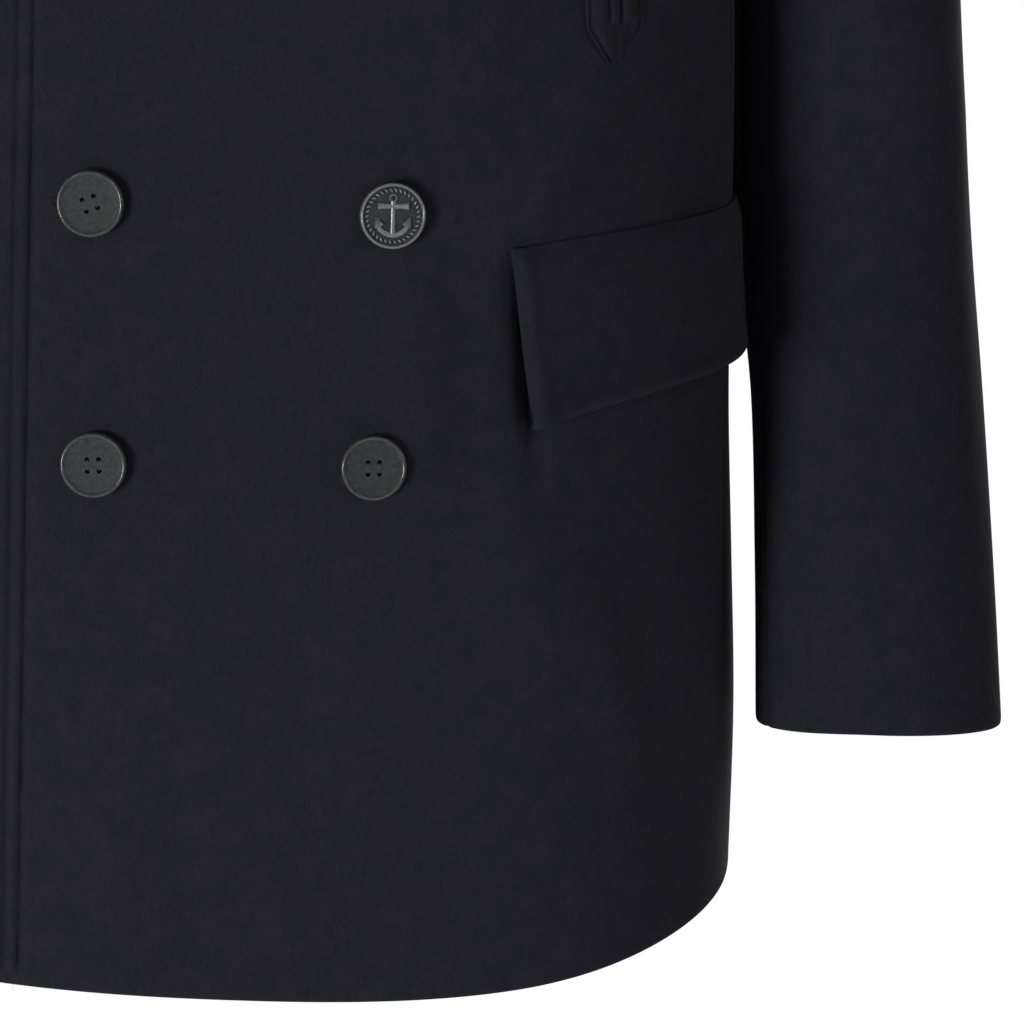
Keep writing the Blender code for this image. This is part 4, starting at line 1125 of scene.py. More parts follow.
# %% The collar
def refined(grid, row_places, column_places):
    """Smooth curves through a grid of points, read at fractional row and column numbers."""
    def through(line, places):
        table = np.column_stack([walked(line), line])
        at = np.interp(places, np.arange(len(line)), table[:, 0])
        return np.column_stack([spline(table, column)(at) for column in (1, 2, 3)])

    wide = np.array([through(row, column_places) for row in grid])
    tall = [through(wide[:, column], row_places) for column in range(wide.shape[1])]
    return np.stack(tall, axis=1)


half = np.array([collar_line(step / COLLAR_STEPS) for step in range(COLLAR_STEPS)])
control = np.concatenate([[collar_end(-1)], mirrored(half[:0:-1]), half, [collar_end(1)]])
LAST_ROW = len(control) - 1
NOTCH_COLUMN, FALL_COLUMN = 10, 6
COLLAR_ROWS, ROLL_COLUMNS, FALL_COLUMNS = 112, 31, 22
ends = np.array([0, 0.06, 0.12, 0.2, 0.3, 0.45, 0.65, 0.85])
even = np.linspace(1, LAST_ROW - 1, COLLAR_ROWS)
row_places = np.concatenate([ends, even, LAST_ROW - ends[::-1]])
to_tip = np.array([0, 0.2, 0.4, 0.6, 0.8, 1.0, 1.2, 1.4, 1.55, 1.68, 1.8, 1.9, 2.0])
column_places = np.concatenate([np.linspace(0, FALL_COLUMN, ROLL_COLUMNS),
                                np.linspace(FALL_COLUMN, NOTCH_COLUMN, FALL_COLUMNS)[1:-1],
                                NOTCH_COLUMN + to_tip])
middle = refined(control, row_places, column_places)
out = unit(np.cross(np.gradient(middle, axis=1), np.gradient(middle, axis=0)))
falls = column_places >= FALL_COLUMN
outside = middle * np.array([1, 1, 0]) + np.array([0, 0, 0.05])
out = out * np.sign((out * outside)[:, falls].sum())
notch = int(np.argmax(column_places >= NOTCH_COLUMN))
edge = np.concatenate([middle[0, notch:-1], middle[:, -1], middle[-1, -2:notch - 1:-1]])
to_edge = np.where(falls[None], distance_to(middle, edge), 1.0)
edges["collar"] = edge
relief = grooves(to_edge) + rolled(to_edge, TURNED_ROLL, EDGE_DROP)
gorges = np.minimum(*(np.linalg.norm(middle - middle[row], axis=-1) for row in (0, -1)))
relief = relief + seam(gorges) * (column_places < NOTCH_COLUMN)[None]
make_panel("collar", middle + out * (CLOTH / 2 + relief)[..., None], out, "first", "last")

# %% [markdown]
# ## The slash pockets
# Each hand pocket is a nearly upright slit. A band of melton, pointed at both ends, is stitched
# round its edge and forms two lips that meet in the middle. The band is one more thin shell on
# the front, with a groove for its stitching and two slits beside the mouth.
# %% Both pocket bands
POCKET_TIP = (0.1525, -0.397)
POCKET_LENGTH, POCKET_WIDTH, POCKET_LEAN = 0.160, 0.025, 0.010
POCKET_POINT, POCKET_BLUNT = 0.020, 0.06
BAND_HEIGHT, BAND_THICKNESS, BAND_RIM = 0.0018, 0.0014, 0.0003
BAND_ROLL, BAND_DROP = 0.0012, 0.0007
BAND_STITCH_IN, BAND_STITCH_HALF, BAND_STITCH_DEPTH = 0.0016, 0.0009, 0.0012
SLIT_AT, SLIT_HALF, SLIT_DEPTH, SLIT_END = 0.0027, 0.0008, 0.0015, (0.0195, 0.0255)
LIP_AT, LIP_HALF, LIP_HEIGHT = 0.0062, 0.0022, 0.0006
SIDE_SLOPE, POINT_SLOPE = 0.8, 0.55  # what a step across, or along, adds to the way to the edge
BAND_ENDS, BAND_ROWS = np.array([0, 1, 2, 3.2, 4.6, 6.2]) / 1000, 84
BAND_SHARES = np.array([0, 0.07, 0.13, 0.175, 0.215, 0.255, 0.30, 0.37, 0.46, 0.56, 0.66, 0.74,
                        0.80, 0.84, 0.875, 0.91, 0.95, 1.0])


def band_point(walk, across, hand):
    near = np.minimum(walk, POCKET_LENGTH - walk)
    width = POCKET_WIDTH / 2 * lerp(POCKET_BLUNT, 1, np.minimum(near / POCKET_POINT, 1))
    centre = POCKET_TIP[0] - POCKET_LEAN * walk / POCKET_LENGTH
    point, out = panel_point(centre + width * across, POCKET_TIP[1] + walk, hand)
    return point, out, width * np.abs(across), width


def band_skin(name, hand):
    walks = stops_between(POCKET_LENGTH, BAND_ENDS, BAND_ENDS, BAND_ROWS)
    across = np.concatenate([-BAND_SHARES[:0:-1], BAND_SHARES])
    walk, side = np.meshgrid(walks, across, indexing="ij")
    point, out, off_centre, width = band_point(walk, side, hand)
    near = np.minimum(walk, POCKET_LENGTH - walk)
    inside = np.minimum((width - off_centre) * SIDE_SLOPE, near * POINT_SLOPE)
    lips = LIP_HEIGHT * hump(off_centre - LIP_AT, LIP_HALF)
    lips = lips - SLIT_DEPTH * hump(off_centre - SLIT_AT, SLIT_HALF)
    relief = lips * ease(*SLIT_END, near) + rolled(inside, BAND_ROLL, BAND_DROP)
    relief = relief - BAND_STITCH_DEPTH * hump(inside - BAND_STITCH_IN, BAND_STITCH_HALF)
    edges[name] = np.concatenate([point[:, 0], point[-1, 1:-1], point[::-1, -1],
                                  point[0, -2:0:-1], point[:1, 0]])
    return point + out * (LAYER_GAP + BAND_HEIGHT + relief)[..., None], out


for side, hand in HANDS:
    name = f"pocket_welt_{side}"
    make_panel(name, *band_skin(name, hand), thickness=BAND_THICKNESS, rim=BAND_RIM)

# %% [markdown]
# ## Sewing thread
# Outer seams are topstitched with a slightly glossy navy polyester thread. Each stitch shows as a
# short rounded bar that dips into the cloth at both ends. One bar is modelled and laid again and
# again along a line; all the stitches of a piece are one mesh.
# %% Thread
PLY_MM = 0.35  # a real ply is finer, and is drawn as coarse as it has to be to show


def make_thread(name, dark, light):
    """Spun and twisted thread: plies catch the light in turn."""
    material, shader = new_material(name, {"Roughness": 0.75, "Specular IOR Level": 0.15})
    place = node(material, "TexCoord").outputs["Object"]
    plies = node(material, "TexNoise", links={"Vector": place},
                 values={"Scale": per_metre(PLY_MM), "Detail": 2.0})
    twist = node(material, "ValToRGB", links={"Fac": plies.outputs["Fac"]},
                 stops=((0.35, hex_colour(dark)), (0.65, hex_colour(light))))
    twisted = node(material, "Bump", values={"Strength": 0.5, "Distance": 0.00015},
                   links={"Height": plies.outputs["Fac"]})
    feed(material, shader, {"Base Color": twist.outputs["Color"],
                            "Normal": twisted.outputs["Normal"]})
    return material


thread = make_thread("polyester_thread_spun", "#131219", "#1b1a23")
grey_thread = make_thread("linen_thread_waxed_and_rubbed_grey", "#303133", "#404143")
print("materials:", thread.name, grey_thread.name)

# %% One stitch, lying along X
STITCH_LENGTH, STITCH_PITCH, STITCH_RADIUS = 0.0028, 0.0035, 0.00028
STITCH_MIDDLE, STITCH_DIP, STITCH_POINT = 0.62, 0.8, 0.35  # straight share, dip, pointed ends
FACING = 0.9  # how squarely a face has to look one way to be picked for it


def picked(piece, keep):
    """Selects the faces whose centre and normal pass the test, and enters edit mode."""
    bpy.context.view_layer.objects.active = piece
    bpy.ops.object.mode_set(mode="EDIT")
    bpy.ops.mesh.select_mode(type="FACE")
    bpy.ops.mesh.select_all(action="DESELECT")
    bpy.ops.object.mode_set(mode="OBJECT")
    for face in piece.data.polygons:
        face.select = bool(keep(face.center, face.normal))
    bpy.ops.object.mode_set(mode="EDIT")


def taken(piece):
    """The piece's points and faces; the piece itself is removed."""
    points = np.zeros(len(piece.data.vertices) * 3)
    piece.data.vertices.foreach_get("co", points)
    faces = [tuple(face.vertices) for face in piece.data.polygons]
    bpy.data.objects.remove(piece)
    return points.reshape(-1, 3), faces


def model_stitch(length, radius):
    deselect()
    bpy.ops.mesh.primitive_cylinder_add(vertices=6, radius=radius, depth=length * STITCH_MIDDLE,
                                        rotation=(0, math.pi / 2, 0))
    stitch_bar = bpy.context.object
    bpy.ops.object.transform_apply(rotation=True)
    for side in (1, -1):
        picked(stitch_bar, lambda centre, normal: normal.x * side > FACING)
        step = (side * length * (1 - STITCH_MIDDLE) / 2, 0, -radius * STITCH_DIP)
        bpy.ops.mesh.extrude_region_move(TRANSFORM_OT_translate={"value": step})
        bpy.ops.transform.resize(value=(1, STITCH_POINT, STITCH_POINT))
        bpy.ops.object.mode_set(mode="OBJECT")
    return taken(stitch_bar)


stitch = model_stitch(STITCH_LENGTH, STITCH_RADIUS)
print("faces in a stitch:", len(stitch[1]))


# %% Laying stitches along a line on the cloth
STITCH_SINK = 0.00008
LOOK = 0.0005  # how far ahead and behind a line's direction is read
SHADE_ANGLE = math.radians(60)


def laid(shape, places, alongs, ups):
    """Copies of a shape with X along and Z up at each place, as one set of points and faces."""
    points, faces = shape
    sides = unit(np.cross(ups, alongs))
    axes = (alongs, sides, np.cross(alongs, sides))
    turned = sum(points[None, :, i, None] * axis[:, None] for i, axis in enumerate(axes))
    return (turned + places[:, None]).reshape(-1, 3), [
        tuple(v + i * len(points) for v in face) for i in range(len(places)) for face in faces]


def joined(name, parts, material):
    """One mesh from several sets of points and faces."""
    faces, start = [], 0
    for points, part_faces in parts:
        faces += [tuple(v + start for v in face) for face in part_faces]
        start += len(points)
    mesh = bpy.data.meshes.new(name)
    mesh.from_pydata(np.concatenate([points for points, _ in parts]).tolist(), [], faces)
    mesh.materials.append(material)
    piece = bpy.data.objects.new(name, mesh)
    bpy.context.scene.collection.objects.link(piece)
    select_only(piece)
    bpy.ops.object.shade_smooth_by_angle(angle=SHADE_ANGLE)
    return piece


def sewn_on(piece):
    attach(piece, "root")
    return piece


def stitched(line, ups):
    """Stitches spaced evenly along a line of points, lying in the cloth that faces up."""
    lengths = walked(line)
    count = max(int(lengths[-1] / STITCH_PITCH), 1)
    at = (np.arange(count) + 0.5) * lengths[-1] / count
    up = unit(read_at(at, lengths, ups))
    along = read_at(at + LOOK, lengths, line) - read_at(at - LOOK, lengths, line)
    along = unit(along - (along * up).sum(-1, keepdims=True) * up)
    return laid(stitch, read_at(at, lengths, line) - up * STITCH_SINK, along, up)


def grid_tree(skin):
    """The panel as quads, for finding the nearest spot on it."""
    index = np.arange(skin.shape[0] * skin.shape[1]).reshape(skin.shape[:2])
    corners = (index[:-1, :-1], index[:-1, 1:], index[1:, 1:], index[1:, :-1])
    quads = np.stack(corners, -1).reshape(-1, 4)
    return BVHTree.FromPolygons(skin.reshape(-1, 3).tolist(), quads.tolist())


# %% Finding the lines that a machine's foot keeps inside an edge
CORNER_NEAR, CORNER_JUMP = 0.96, 0.012  # a nearer edge ends a row, and so does a jump


def inside_spots(tree, like, edge, inward_side, distance):
    """For each point of the edge the spot this far inside it, with its normal, and how well."""
    spots, normals, gaps = [], [], []
    for point, along in zip(edge, unit(np.gradient(edge, axis=0))):
        inwards = np.cross(np.array(tree.find_nearest(Vector(point))[1]), along) * inward_side
        for _ in range(3):
            spot, normal, _, gap = tree.find_nearest(Vector(point + inwards * distance))
            inwards = unit(np.array(spot) - point)
        spots.append(np.array(spot))
        normals.append(np.array(normal) * np.sign(np.array(normal) @ like or 1))
        gaps.append(gap)
    return np.array(spots), np.array(normals), np.median(gaps)


def inside_lines(name, spacing, distance):
    """The lines on a panel that keep this distance from its edge, in unbroken runs."""
    skin, outward = skins[name]
    tree, like = grid_tree(skin), outward.reshape(-1, 3).mean(0)
    lengths = walked(edges[name])
    at = np.linspace(0, lengths[-1], int(lengths[-1] / spacing) + 1)
    edge = read_at(at, lengths, edges[name])
    tries = [inside_spots(tree, like, edge, side, distance) for side in (1, -1)]
    spots, normals, _ = min(tries, key=lambda found: found[2])
    away = distance_to(spots[None], edge)[0]
    runs, run = [], []
    for i in np.flatnonzero(away > distance * CORNER_NEAR):
        if run and np.linalg.norm(spots[i] - spots[run[-1]]) > CORNER_JUMP:
            runs.append(run)
            run = []
        run.append(i)
    runs.append(run)
    return [(spots[run], normals[run]) for run in runs if len(run) > 3]


# %% Stitches of the front edges, lapels, collar and pocket bands
STITCHES_END, STITCHES_BREAK = 0.0085, 0.004  # from the hem, and below the lapel's break
EDGE_SPACING = 0.0012

for side, hand in HANDS:
    skin, outward = skins[f"front_{side}"]
    parts = []
    for row in STITCH_ROWS:
        column = int(np.argmin(np.abs(EDGE_STOPS - row)))
        line = skin[:, column]
        sewn = above_hem(line * [hand, 1, 1], FRONT, hand) > STITCHES_END
        sewn = sewn & (line[:, 2] < BREAK_Z - STITCHES_BREAK)
        parts.append(stitched(line[sewn], outward[sewn, column]))
    sewn_on(joined(f"stitches_front_{side}", parts, thread))

for name in ("lapel_left", "lapel_right", "collar"):
    parts = [stitched(*line) for row in STITCH_ROWS
             for line in inside_lines(name, EDGE_SPACING, row)]
    sewn_on(joined(f"stitches_{name}", parts, thread))
    print(name, "rows of stitches:", len(parts))

# %% [markdown]
# ## The pocket bands' stitching and tacks
# The band is stitched 1.6 mm inside its edge. At each end of the mouth, where a hand pulls
# hardest, a tack of close parallel stitches is sewn in the shape of an arrowhead.
# %% Band stitches and arrowhead tacks
BAND_SPACING = 0.0008
TACK_FROM, TACK_TO, TACK_PITCH = 0.0016, 0.0215, 0.00075
TACK_TIP, TACK_HALF = 0.0008, 0.0064
TACK_WIDE, TACK_FLAT, TACK_ABOVE = 1.2, 0.8, 0.0001


def tack(hand, from_top):
    """Stitches of one arrowhead, each from the middle line outwards and up."""
    parts = []
    for step in np.arange(TACK_FROM, TACK_TO, TACK_PITCH):
        share = (step - TACK_FROM) / (TACK_TO - TACK_FROM)
        walk = np.array(POCKET_LENGTH - step if from_top else step)
        centre, out, _, width = band_point(walk, np.array(0.0), hand)
        for side in (1, -1):
            across = np.array(side * (TACK_TIP + TACK_HALF * share) / float(width))
            reach = band_point(walk, across, hand)[0] - centre
            stretch = np.array([np.linalg.norm(reach) / STITCH_LENGTH, TACK_WIDE, TACK_FLAT])
            place = centre + reach / 2 + out * (LAYER_GAP + BAND_HEIGHT + TACK_ABOVE)
            parts.append(laid((stitch[0] * stretch, stitch[1]), place[None], unit(reach)[None],
                              out[None]))
    return parts


for side, hand in HANDS:
    name = f"pocket_welt_{side}"
    parts = [stitched(*line) for line in inside_lines(name, BAND_SPACING, BAND_STITCH_IN)]
    tacks = tack(hand, False) + tack(hand, True)
    sewn_on(joined(f"stitches_{name}", parts + tacks, thread))
print("tack stitches:", len(tacks))

# %% [markdown]
# ## Buttonholes
# A worked buttonhole is a slit with close satin stitches all round it. The overlap has them under
# the column of buttons by its edge, and only their ends show beside the buttons.
# %% Worked buttonholes
HOLE_REACH, HOLE_BACK, HOLE_HALF, HOLE_PITCH = 0.0162, 0.0110, 0.0013, 0.00055
SATIN_LENGTH, SATIN_RADIUS, SATIN_SINK = 0.0022, 0.00030, 0.0001
satin = model_stitch(SATIN_LENGTH, SATIN_RADIUS)


def slit_outline():
    """Points round the slit and directions away from it, in the plane of the cloth."""
    left, right = -HOLE_REACH + HOLE_HALF, HOLE_BACK - HOLE_HALF
    turn = np.linspace(0, math.pi, 10)[1:-1]
    ends = [(centre + HOLE_HALF * math.cos(a), HOLE_HALF * math.sin(a), math.cos(a), math.sin(a))
            for centre, start in ((right, -math.pi / 2), (left, math.pi / 2)) for a in turn + start]
    sides = [(x, HOLE_HALF * s, 0.0, s) for x in np.arange(left, right, HOLE_PITCH)
             for s in (1.0, -1.0)]
    return np.array(sides + ends)


outline = slit_outline()
parts = []
for row in BUTTON_ROWS:
    x, z = row[0] + outline[:, 0], row[1] + outline[:, 1]
    point, out = panel_point(x, z, 1)
    further, _ = panel_point(x + outline[:, 2] * LOOK, z + outline[:, 3] * LOOK, 1)
    parts.append(laid(satin, point - out * SATIN_SINK, unit(further - point), out))
sewn_on(joined("buttonholes", parts, thread))
print("satin stitches:", len(outline) * len(BUTTON_ROWS))

# %% [markdown]
# ## Buttons
# The buttons are 27 mm across, compression moulded from dark plastic: a disc with a narrow raised
# rim round a shallow dish. Years of rubbing have greyed the face and polished the rim. What stands
# out is painted paler, partly as rubbing and partly as a painted highlight, so each mesh carries a
# number called wear_and_highlight, high on what stands out, and the material reads it.
# %% Worn plastic, painted paler on what stands out: rubbing and a painted highlight
PLASTIC, PLASTIC_GREY, PLASTIC_WORN_AND_HIGHLIT = map(hex_colour, ("#151617", "#2c2d2f", "#77787b"))
GRIME_MM, SCUFF_MM = 1.6, 0.45

plastic, plastic_shader = new_material("phenolic_moulded_rubbed_and_highlit",
                                       {"Roughness": 0.40, "IOR": 1.6, "Specular IOR Level": 0.3})
place = node(plastic, "TexCoord").outputs["Object"]
grime = node(plastic, "TexNoise", links={"Vector": place},
             values={"Scale": per_metre(GRIME_MM), "Detail": 4.0, "Roughness": 0.65})
scuffs = node(plastic, "TexNoise", links={"Vector": place},
              values={"Scale": per_metre(SCUFF_MM), "Detail": 2.0})
greyed = node(plastic, "ValToRGB", links={"Fac": grime.outputs["Fac"]},
              stops=((0.33, PLASTIC), (0.70, PLASTIC_GREY)))
# The pale colour on the rims and on the anchor's relief is partly rubbing and partly a painted
# highlight; the same number also makes those parts glossier.
wear_and_highlight = node(plastic, "Attribute", {"attribute_name": "wear_and_highlight"})
patchy = node(plastic, "MapRange", links={"Value": scuffs.outputs["Fac"]},
              values={"From Min": 0.30, "From Max": 0.60, "To Min": 0.45, "To Max": 1.0})
rubbed_and_highlit = node(plastic, "Math", {"operation": "MULTIPLY"},
              links={0: wear_and_highlight.outputs["Fac"], 1: patchy.outputs["Result"]})
faced = node(plastic, "MixRGB", values={"Color2": PLASTIC_WORN_AND_HIGHLIT},
             links={"Fac": rubbed_and_highlit.outputs["Value"], "Color1": greyed.outputs["Color"]})
gloss = node(plastic, "MapRange", links={"Value": wear_and_highlight.outputs["Fac"]},
             values={"From Max": 0.20, "To Min": 0.74, "To Max": 0.17})
scratched = node(plastic, "Bump", values={"Strength": 0.35, "Distance": 0.0001},
                 links={"Height": scuffs.outputs["Fac"]})
feed(plastic, plastic_shader, {"Base Color": faced.outputs["Color"],
                               "Roughness": gloss.outputs["Result"],
                               "Normal": scratched.outputs["Normal"]})
print("material:", plastic.name)

# %% The disc with four holes
BUTTON_RADIUS, SHANK_HEIGHT = 0.0134, 0.0016
DISC_SIDE, DISC_TOP = 0.0018, 0.0034
FOOT_IN, FOOT_DROP, DISC_RIM = 0.0030, 0.0004, 0.00025
HOLE_OFF, HOLE_RADIUS, DRILL_LENGTH = 0.00235, 0.00105, 0.02
# The plain button's rim is painted a little paler: partly rubbing, partly a painted highlight.
PLAIN_WEAR_AND_HIGHLIGHT = (0.0040, 0.00445, 0.20)  # rubbed from this height, fully at this one, this much
PLAIN_STEPS = ((0.0004, 0.0009), (0.0005, 0.0002), (0.0005, -0.0001), (0.0004, -0.0005),
               (0.0016, -0.0002), (0.0040, -0.0002), (0.0015, 0.0))
ANCHOR_STEPS = ((0.0004, 0.0009), (0.0004, 0.0002), (0.0004, 0.0), (0.0004, -0.0009),
                (0.0020, 0.0), (0.0050, 0.0001))


def model_disc(steps):
    """A disc turned in steps from its rim to its middle: each step goes in and then up or down."""
    deselect()
    bpy.ops.mesh.primitive_cylinder_add(vertices=64, radius=BUTTON_RADIUS, depth=DISC_SIDE,
                                        location=(0, 0, SHANK_HEIGHT + DISC_SIDE / 2))
    disc = bpy.context.object
    bpy.ops.object.transform_apply(location=True)
    picked(disc, lambda centre, normal: normal.z > FACING)
    for inwards, rise in steps:
        bpy.ops.mesh.inset(thickness=inwards)
        bpy.ops.transform.translate(value=(0, 0, rise))
    bpy.ops.object.mode_set(mode="OBJECT")
    picked(disc, lambda centre, normal: normal.z < -FACING)
    bpy.ops.mesh.inset(thickness=FOOT_IN)
    bpy.ops.transform.translate(value=(0, 0, -FOOT_DROP))
    bpy.ops.object.mode_set(mode="OBJECT")
    apply_modifier(disc, "BEVEL", width=DISC_RIM, segments=2, limit_method="ANGLE",
                   angle_limit=math.radians(35))
    return disc


def give_wear_and_highlight(piece, start, full, most):
    """Stores how pale each point is painted, from its height above the foot: rubbing and a painted
    highlight.
    """
    heights = np.zeros(len(piece.data.vertices) * 3)
    piece.data.vertices.foreach_get("co", heights)
    amount = most * ease(start, full, heights.reshape(-1, 3)[:, 2])
    piece.data.attributes.new("wear_and_highlight", "FLOAT", "POINT").data.foreach_set("value", amount)


def placed(model, name, matrix, angle):
    """A copy of a model, turned by this many degrees and then moved."""
    made = model.copy()
    made.data = model.data.copy()
    made.name = made.data.name = name
    made.data.transform(matrix @ Matrix.Rotation(math.radians(angle), 4, "Z"))
    bpy.context.scene.collection.objects.link(made)
    return made


plain_disc = model_disc(PLAIN_STEPS)
for x, y in ((-1, -1), (-1, 1), (1, -1), (1, 1)):
    bpy.ops.mesh.primitive_cylinder_add(vertices=14, radius=HOLE_RADIUS, depth=DRILL_LENGTH,
                                        location=(x * HOLE_OFF, y * HOLE_OFF, 0))
    drill = bpy.context.object
    apply_modifier(plain_disc, "BOOLEAN", object=drill, operation="DIFFERENCE", solver="EXACT")
    bpy.data.objects.remove(drill)
give_wear_and_highlight(plain_disc, *PLAIN_WEAR_AND_HIGHLIGHT)
print("plain button faces:", len(plain_disc.data.polygons))

# %% [markdown]
# ## The anchor button
# One column has anchors, a motif that navies everywhere have used for centuries. This one is a
# plain admiralty anchor in low relief: ring, stock, shank, and curved arms with flukes. A rope
# border runs round it inside the rim, as on many struck buttons: one twist of the rope is modelled
# and repeated on a circle. Each member is modelled once and they are joined.
# %% Anchor, rope border and rim
ANCHOR_FLAT = 0.75
SHANK_BAR = (0.0136, 0.00105, -0.0008, 1.15)  # length, radius, height on the face, swell
STOCK_BAR = (0.0124, 0.00112, 0.0040, 1.3)
RING_AT, RING_RADIUS, RING_THICK = 0.0072, 0.00135, 0.00055
ARM_RADIUS, ARM_CENTRE, ARM_REACH = 0.00115, -0.0010, 0.0066
ARM_START, ARM_TURN = math.radians(-18), math.radians(-144)
FLUKE_RADIUS, FLUKE_TIP, FLUKE_LENGTH, FLUKE_UP = 0.00230, 0.0003, 0.0042, 0.0009
FLUKE_LEAN = math.radians(24)
TWISTS, TWIST_RING, TWIST_RADIUS, TWIST_LEAN = 34, 0.01040, 0.00052, math.radians(35)
TWIST_LONG, TWIST_UP = 2.0, 0.0001
# The anchor's relief is painted pale: partly rubbing, partly a painted highlight.
WEAR_AND_HIGHLIGHT_FROM, WEAR_AND_HIGHLIGHT_FULL, WEAR_AND_HIGHLIGHT_MOST = 0.0001, 0.0006, 0.85  # heights above the disc's floor
anchor_disc = model_disc(ANCHOR_STEPS)
anchor_floor = DISC_TOP + sum(rise for _, rise in ANCHOR_STEPS)


def anchor_bar(length, radius, height_on_face, swell, axis):
    """A round bar along X or Y that swells or narrows towards both ends."""
    rotation = (0, math.pi / 2, 0) if axis == 0 else (math.pi / 2, 0, 0)
    bpy.ops.mesh.primitive_cylinder_add(vertices=10, radius=radius, depth=length / 2,
                                        location=(0, height_on_face, 0), rotation=rotation)
    made = bpy.context.object
    bpy.ops.object.transform_apply(location=True, rotation=True)
    for side in (1, -1):
        picked(made, lambda centre, normal: normal[axis] * side > FACING)
        step = [0.0, 0.0, 0.0]
        step[axis] = side * length / 4
        bpy.ops.mesh.extrude_region_move(TRANSFORM_OT_translate={"value": step})
        bpy.ops.transform.resize(value=(swell, swell, swell))
        bpy.ops.object.mode_set(mode="OBJECT")
    return made


def on_arms(angle):
    return ARM_REACH * math.cos(angle), ARM_CENTRE + ARM_REACH * math.sin(angle)


deselect()
members = [anchor_bar(*SHANK_BAR, axis=1), anchor_bar(*STOCK_BAR, axis=0)]
bpy.ops.mesh.primitive_torus_add(major_radius=RING_RADIUS, minor_radius=RING_THICK,
                                 major_segments=20, minor_segments=8, location=(0, RING_AT, 0))
members.append(bpy.context.object)
bpy.ops.mesh.primitive_circle_add(vertices=10, radius=ARM_RADIUS, location=(*on_arms(ARM_START), 0),
                                  rotation=(math.pi / 2, 0, ARM_START))
members.append(bpy.context.object)
bpy.ops.object.transform_apply(location=True, rotation=True)
bpy.ops.object.mode_set(mode="EDIT")
bpy.ops.mesh.select_all(action="SELECT")
bpy.ops.mesh.spin(steps=18, angle=-ARM_TURN, center=(0, ARM_CENTRE, 0), axis=(0, 0, 1))
bpy.ops.object.mode_set(mode="OBJECT")
for angle in (ARM_START, ARM_START + ARM_TURN):
    lean = -math.copysign(FLUKE_LEAN, math.cos(angle))
    x, y = on_arms(angle)
    bpy.ops.mesh.primitive_cone_add(vertices=8, radius1=FLUKE_RADIUS, radius2=FLUKE_TIP,
                                    depth=FLUKE_LENGTH, location=(x, y + FLUKE_UP, 0),
                                    rotation=(-math.pi / 2, 0, lean))
    members.append(bpy.context.object)
select_only(*members)
bpy.ops.object.join()
anchor = bpy.context.object
bpy.ops.object.transform_apply(location=True, rotation=True)
anchor.data.transform(Matrix.Translation((0, 0, anchor_floor))
                      @ Matrix.Diagonal((1, 1, ANCHOR_FLAT, 1)))

deselect()
bpy.ops.mesh.primitive_uv_sphere_add(segments=8, ring_count=5, radius=TWIST_RADIUS)
twist = bpy.context.object
twist.data.transform(Matrix.Translation((TWIST_RING, 0, anchor_floor + TWIST_UP))
                     @ Matrix.Rotation(TWIST_LEAN, 4, "Z") @ Matrix.Diagonal((TWIST_LONG, 1, 1, 1)))
twists = [placed(twist, "twist", Matrix(), 360 * i / TWISTS) for i in range(TWISTS)]
bpy.data.objects.remove(twist)
select_only(anchor_disc, anchor, *twists)
bpy.ops.object.join()
give_wear_and_highlight(anchor_disc, anchor_floor + WEAR_AND_HIGHLIGHT_FROM, anchor_floor + WEAR_AND_HIGHLIGHT_FULL, WEAR_AND_HIGHLIGHT_MOST)
print("anchor button faces:", len(anchor_disc.data.polygons))


# %% Thread of a button: strands across the face, and the wound shank under it
STRAND_NEAR, STRAND_ABOVE, STRAND_SHAPE = 0.00024, 0.00013, (0.90, 0.80, 0.45)
WINDS, WIND_RADIUS, WIND_THICK, WIND_OFF = 4, 0.0030, 0.00030, 0.00005
WIND_FOOT, WIND_PITCH = 0.00022, 0.00040


def button_thread(strands):
    parts = []
    if strands:
        stretch = np.array([2 * HOLE_OFF / STITCH_LENGTH, 1, 1]) * STRAND_SHAPE
        places = np.array([(x * HOLE_OFF + near, 0, DISC_TOP + STRAND_ABOVE)
                           for x in (-1, 1) for near in (-STRAND_NEAR, STRAND_NEAR)])
        across, up = np.tile([0, 1.0, 0], (len(places), 1)), np.tile([0, 0, 1.0], (len(places), 1))
        parts.append(laid((stitch[0] * stretch, stitch[1]), places, across, up))
    deselect()
    for turn in range(WINDS):
        place = (WIND_OFF * (-1) ** turn, 0, WIND_FOOT + WIND_PITCH * turn)
        bpy.ops.mesh.primitive_torus_add(major_radius=WIND_RADIUS, minor_radius=WIND_THICK,
                                         major_segments=20, minor_segments=6, location=place)
        bpy.ops.object.transform_apply(location=True)
        parts.append(taken(bpy.context.object))
    return joined("button_thread_model", parts, grey_thread)


# %% Eight buttons in their places
ANCHOR_ROWS = (2, 3, 4)
TURNS = {"edge": (2, 20, -9, 12), "side": (0, -1, 3, -4)}  # how far each is turned, in degrees

for model in (plain_disc, anchor_disc):
    select_only(model)
    bpy.ops.object.shade_smooth_by_angle(angle=math.radians(40))
    model.data.materials.append(plastic)

plain, anchored = (plain_disc, button_thread(True)), (anchor_disc, button_thread(False))
for number, row in enumerate(BUTTON_ROWS, start=1):
    for column, x, z in (("edge", *row[:2]), ("side", *row[2:])):
        point, out = panel_point(np.array(x), np.array(z), 1)
        sideways = unit(np.cross((0.0, 0.0, 1.0), out))
        axes = np.column_stack([sideways, np.cross(out, sideways), out])
        matrix = Matrix(axes.tolist()).to_4x4()
        matrix.translation = Vector(point + out * (SEAM_GAP + FACET_ROOM / 6))
        models = anchored if column == "side" and number in ANCHOR_ROWS else plain
        name, angle = f"button_{column}_{number}", TURNS[column][number - 1]
        disc = sewn_on(placed(models[0], name + "_disc", matrix, angle))
        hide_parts(name)
        sewn_on(placed(models[1], name + "_thread", matrix, angle))
for model in plain + anchored:
    bpy.data.objects.remove(model)
print("buttons:", 2 * len(BUTTON_ROWS))

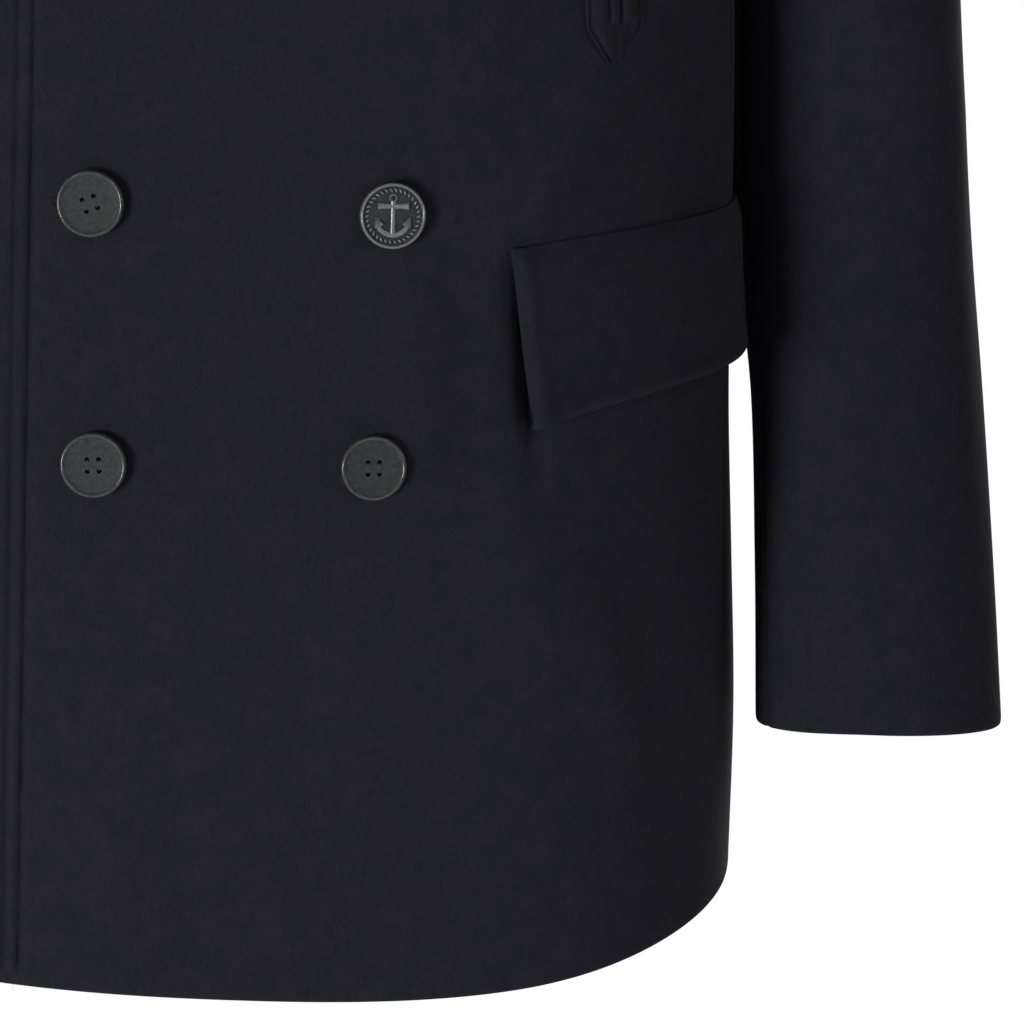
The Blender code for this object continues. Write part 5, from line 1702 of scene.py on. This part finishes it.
# %% [markdown]
# ## Light and ground
# One large soft lamp stands low to the wearer's right, so every edge has a soft shadow above it and
# on its other side. Weaker ones fill from the front and the left, two light the back and one the
# floor behind, and two small lamps above only put sparks on the rims of the buttons. The floor is a
# pale disc well below the hem, as under a coat on a stand, and the air is white.
# %% Lamps, floor and air
def soft_lamp(name, place, target, width, power):
    data = bpy.data.lights.new(name, "AREA")
    data.shape, data.size, data.energy = "DISK", width, power
    lamp = bpy.data.objects.new(name, data)
    lamp.location = place
    lamp.rotation_euler = (Vector(target) - Vector(place)).to_track_quat("-Z", "Y").to_euler()
    lamp.visible_camera = False
    bpy.context.scene.collection.objects.link(lamp)


LAMPS = (  # name, place, target, width and power
    ("key", (-1.74, -2.06, -0.80), (0.05, 0, -0.50), 0.9, 65),
    ("front", (0.38, -2.70, -0.15), (0.15, 0, -0.45), 0.7, 6),
    ("side", (2.50, -0.60, -0.20), (0.30, 0, -0.50), 0.6, 13),
    ("left spark", (-1.25, -1.80, 1.00), (0, -0.1, -0.40), 0.25, 5),
    ("right spark", (1.25, -1.80, 1.00), (0, -0.1, -0.40), 0.25, 5),
    ("back", (1.30, 2.40, 0.50), (0, 0, -0.40), 1.4, 80),
    ("back low", (-1.90, 1.90, -0.20), (0, 0, -0.45), 1.0, 24),
    ("top", (0, 0.80, 2.40), (0, 0.30, -1.50), 1.6, 12),
)
FLOOR_RADIUS, FLOOR_DROP = 1.70, 0.75
AIR_SEEN, AIR_LIGHT = 1.0, 0.08  # the air is white to the camera and gives little light

for lamp in LAMPS:
    soft_lamp(*lamp)

deselect()
bpy.ops.mesh.primitive_circle_add(vertices=96, radius=FLOOR_RADIUS, fill_type="NGON",
                                  location=(0, 0, HEM_Z - FLOOR_DROP))
floor = bpy.context.object
floor.name = "floor"
plaster, _ = new_material("plaster_matt_white",
                          {"Roughness": 0.9, "Base Color": hex_colour("#f4f4f2")})
floor.data.materials.append(plaster)

world = bpy.data.worlds.new("air")
bpy.context.scene.world = world
world.use_nodes = True
seen = node(world, "LightPath").outputs["Is Camera Ray"]
strength = node(world, "MapRange", links={"Value": seen},
                values={"To Min": AIR_LIGHT, "To Max": AIR_SEEN})
air = world.node_tree.nodes["Background"]
air.inputs["Color"].default_value = (1, 1, 1, 1)
feed(world, air, {"Strength": strength.outputs["Result"]})
bpy.context.scene.view_settings.view_transform = "Standard"
print("lamps:", [name for name, *_ in LAMPS])
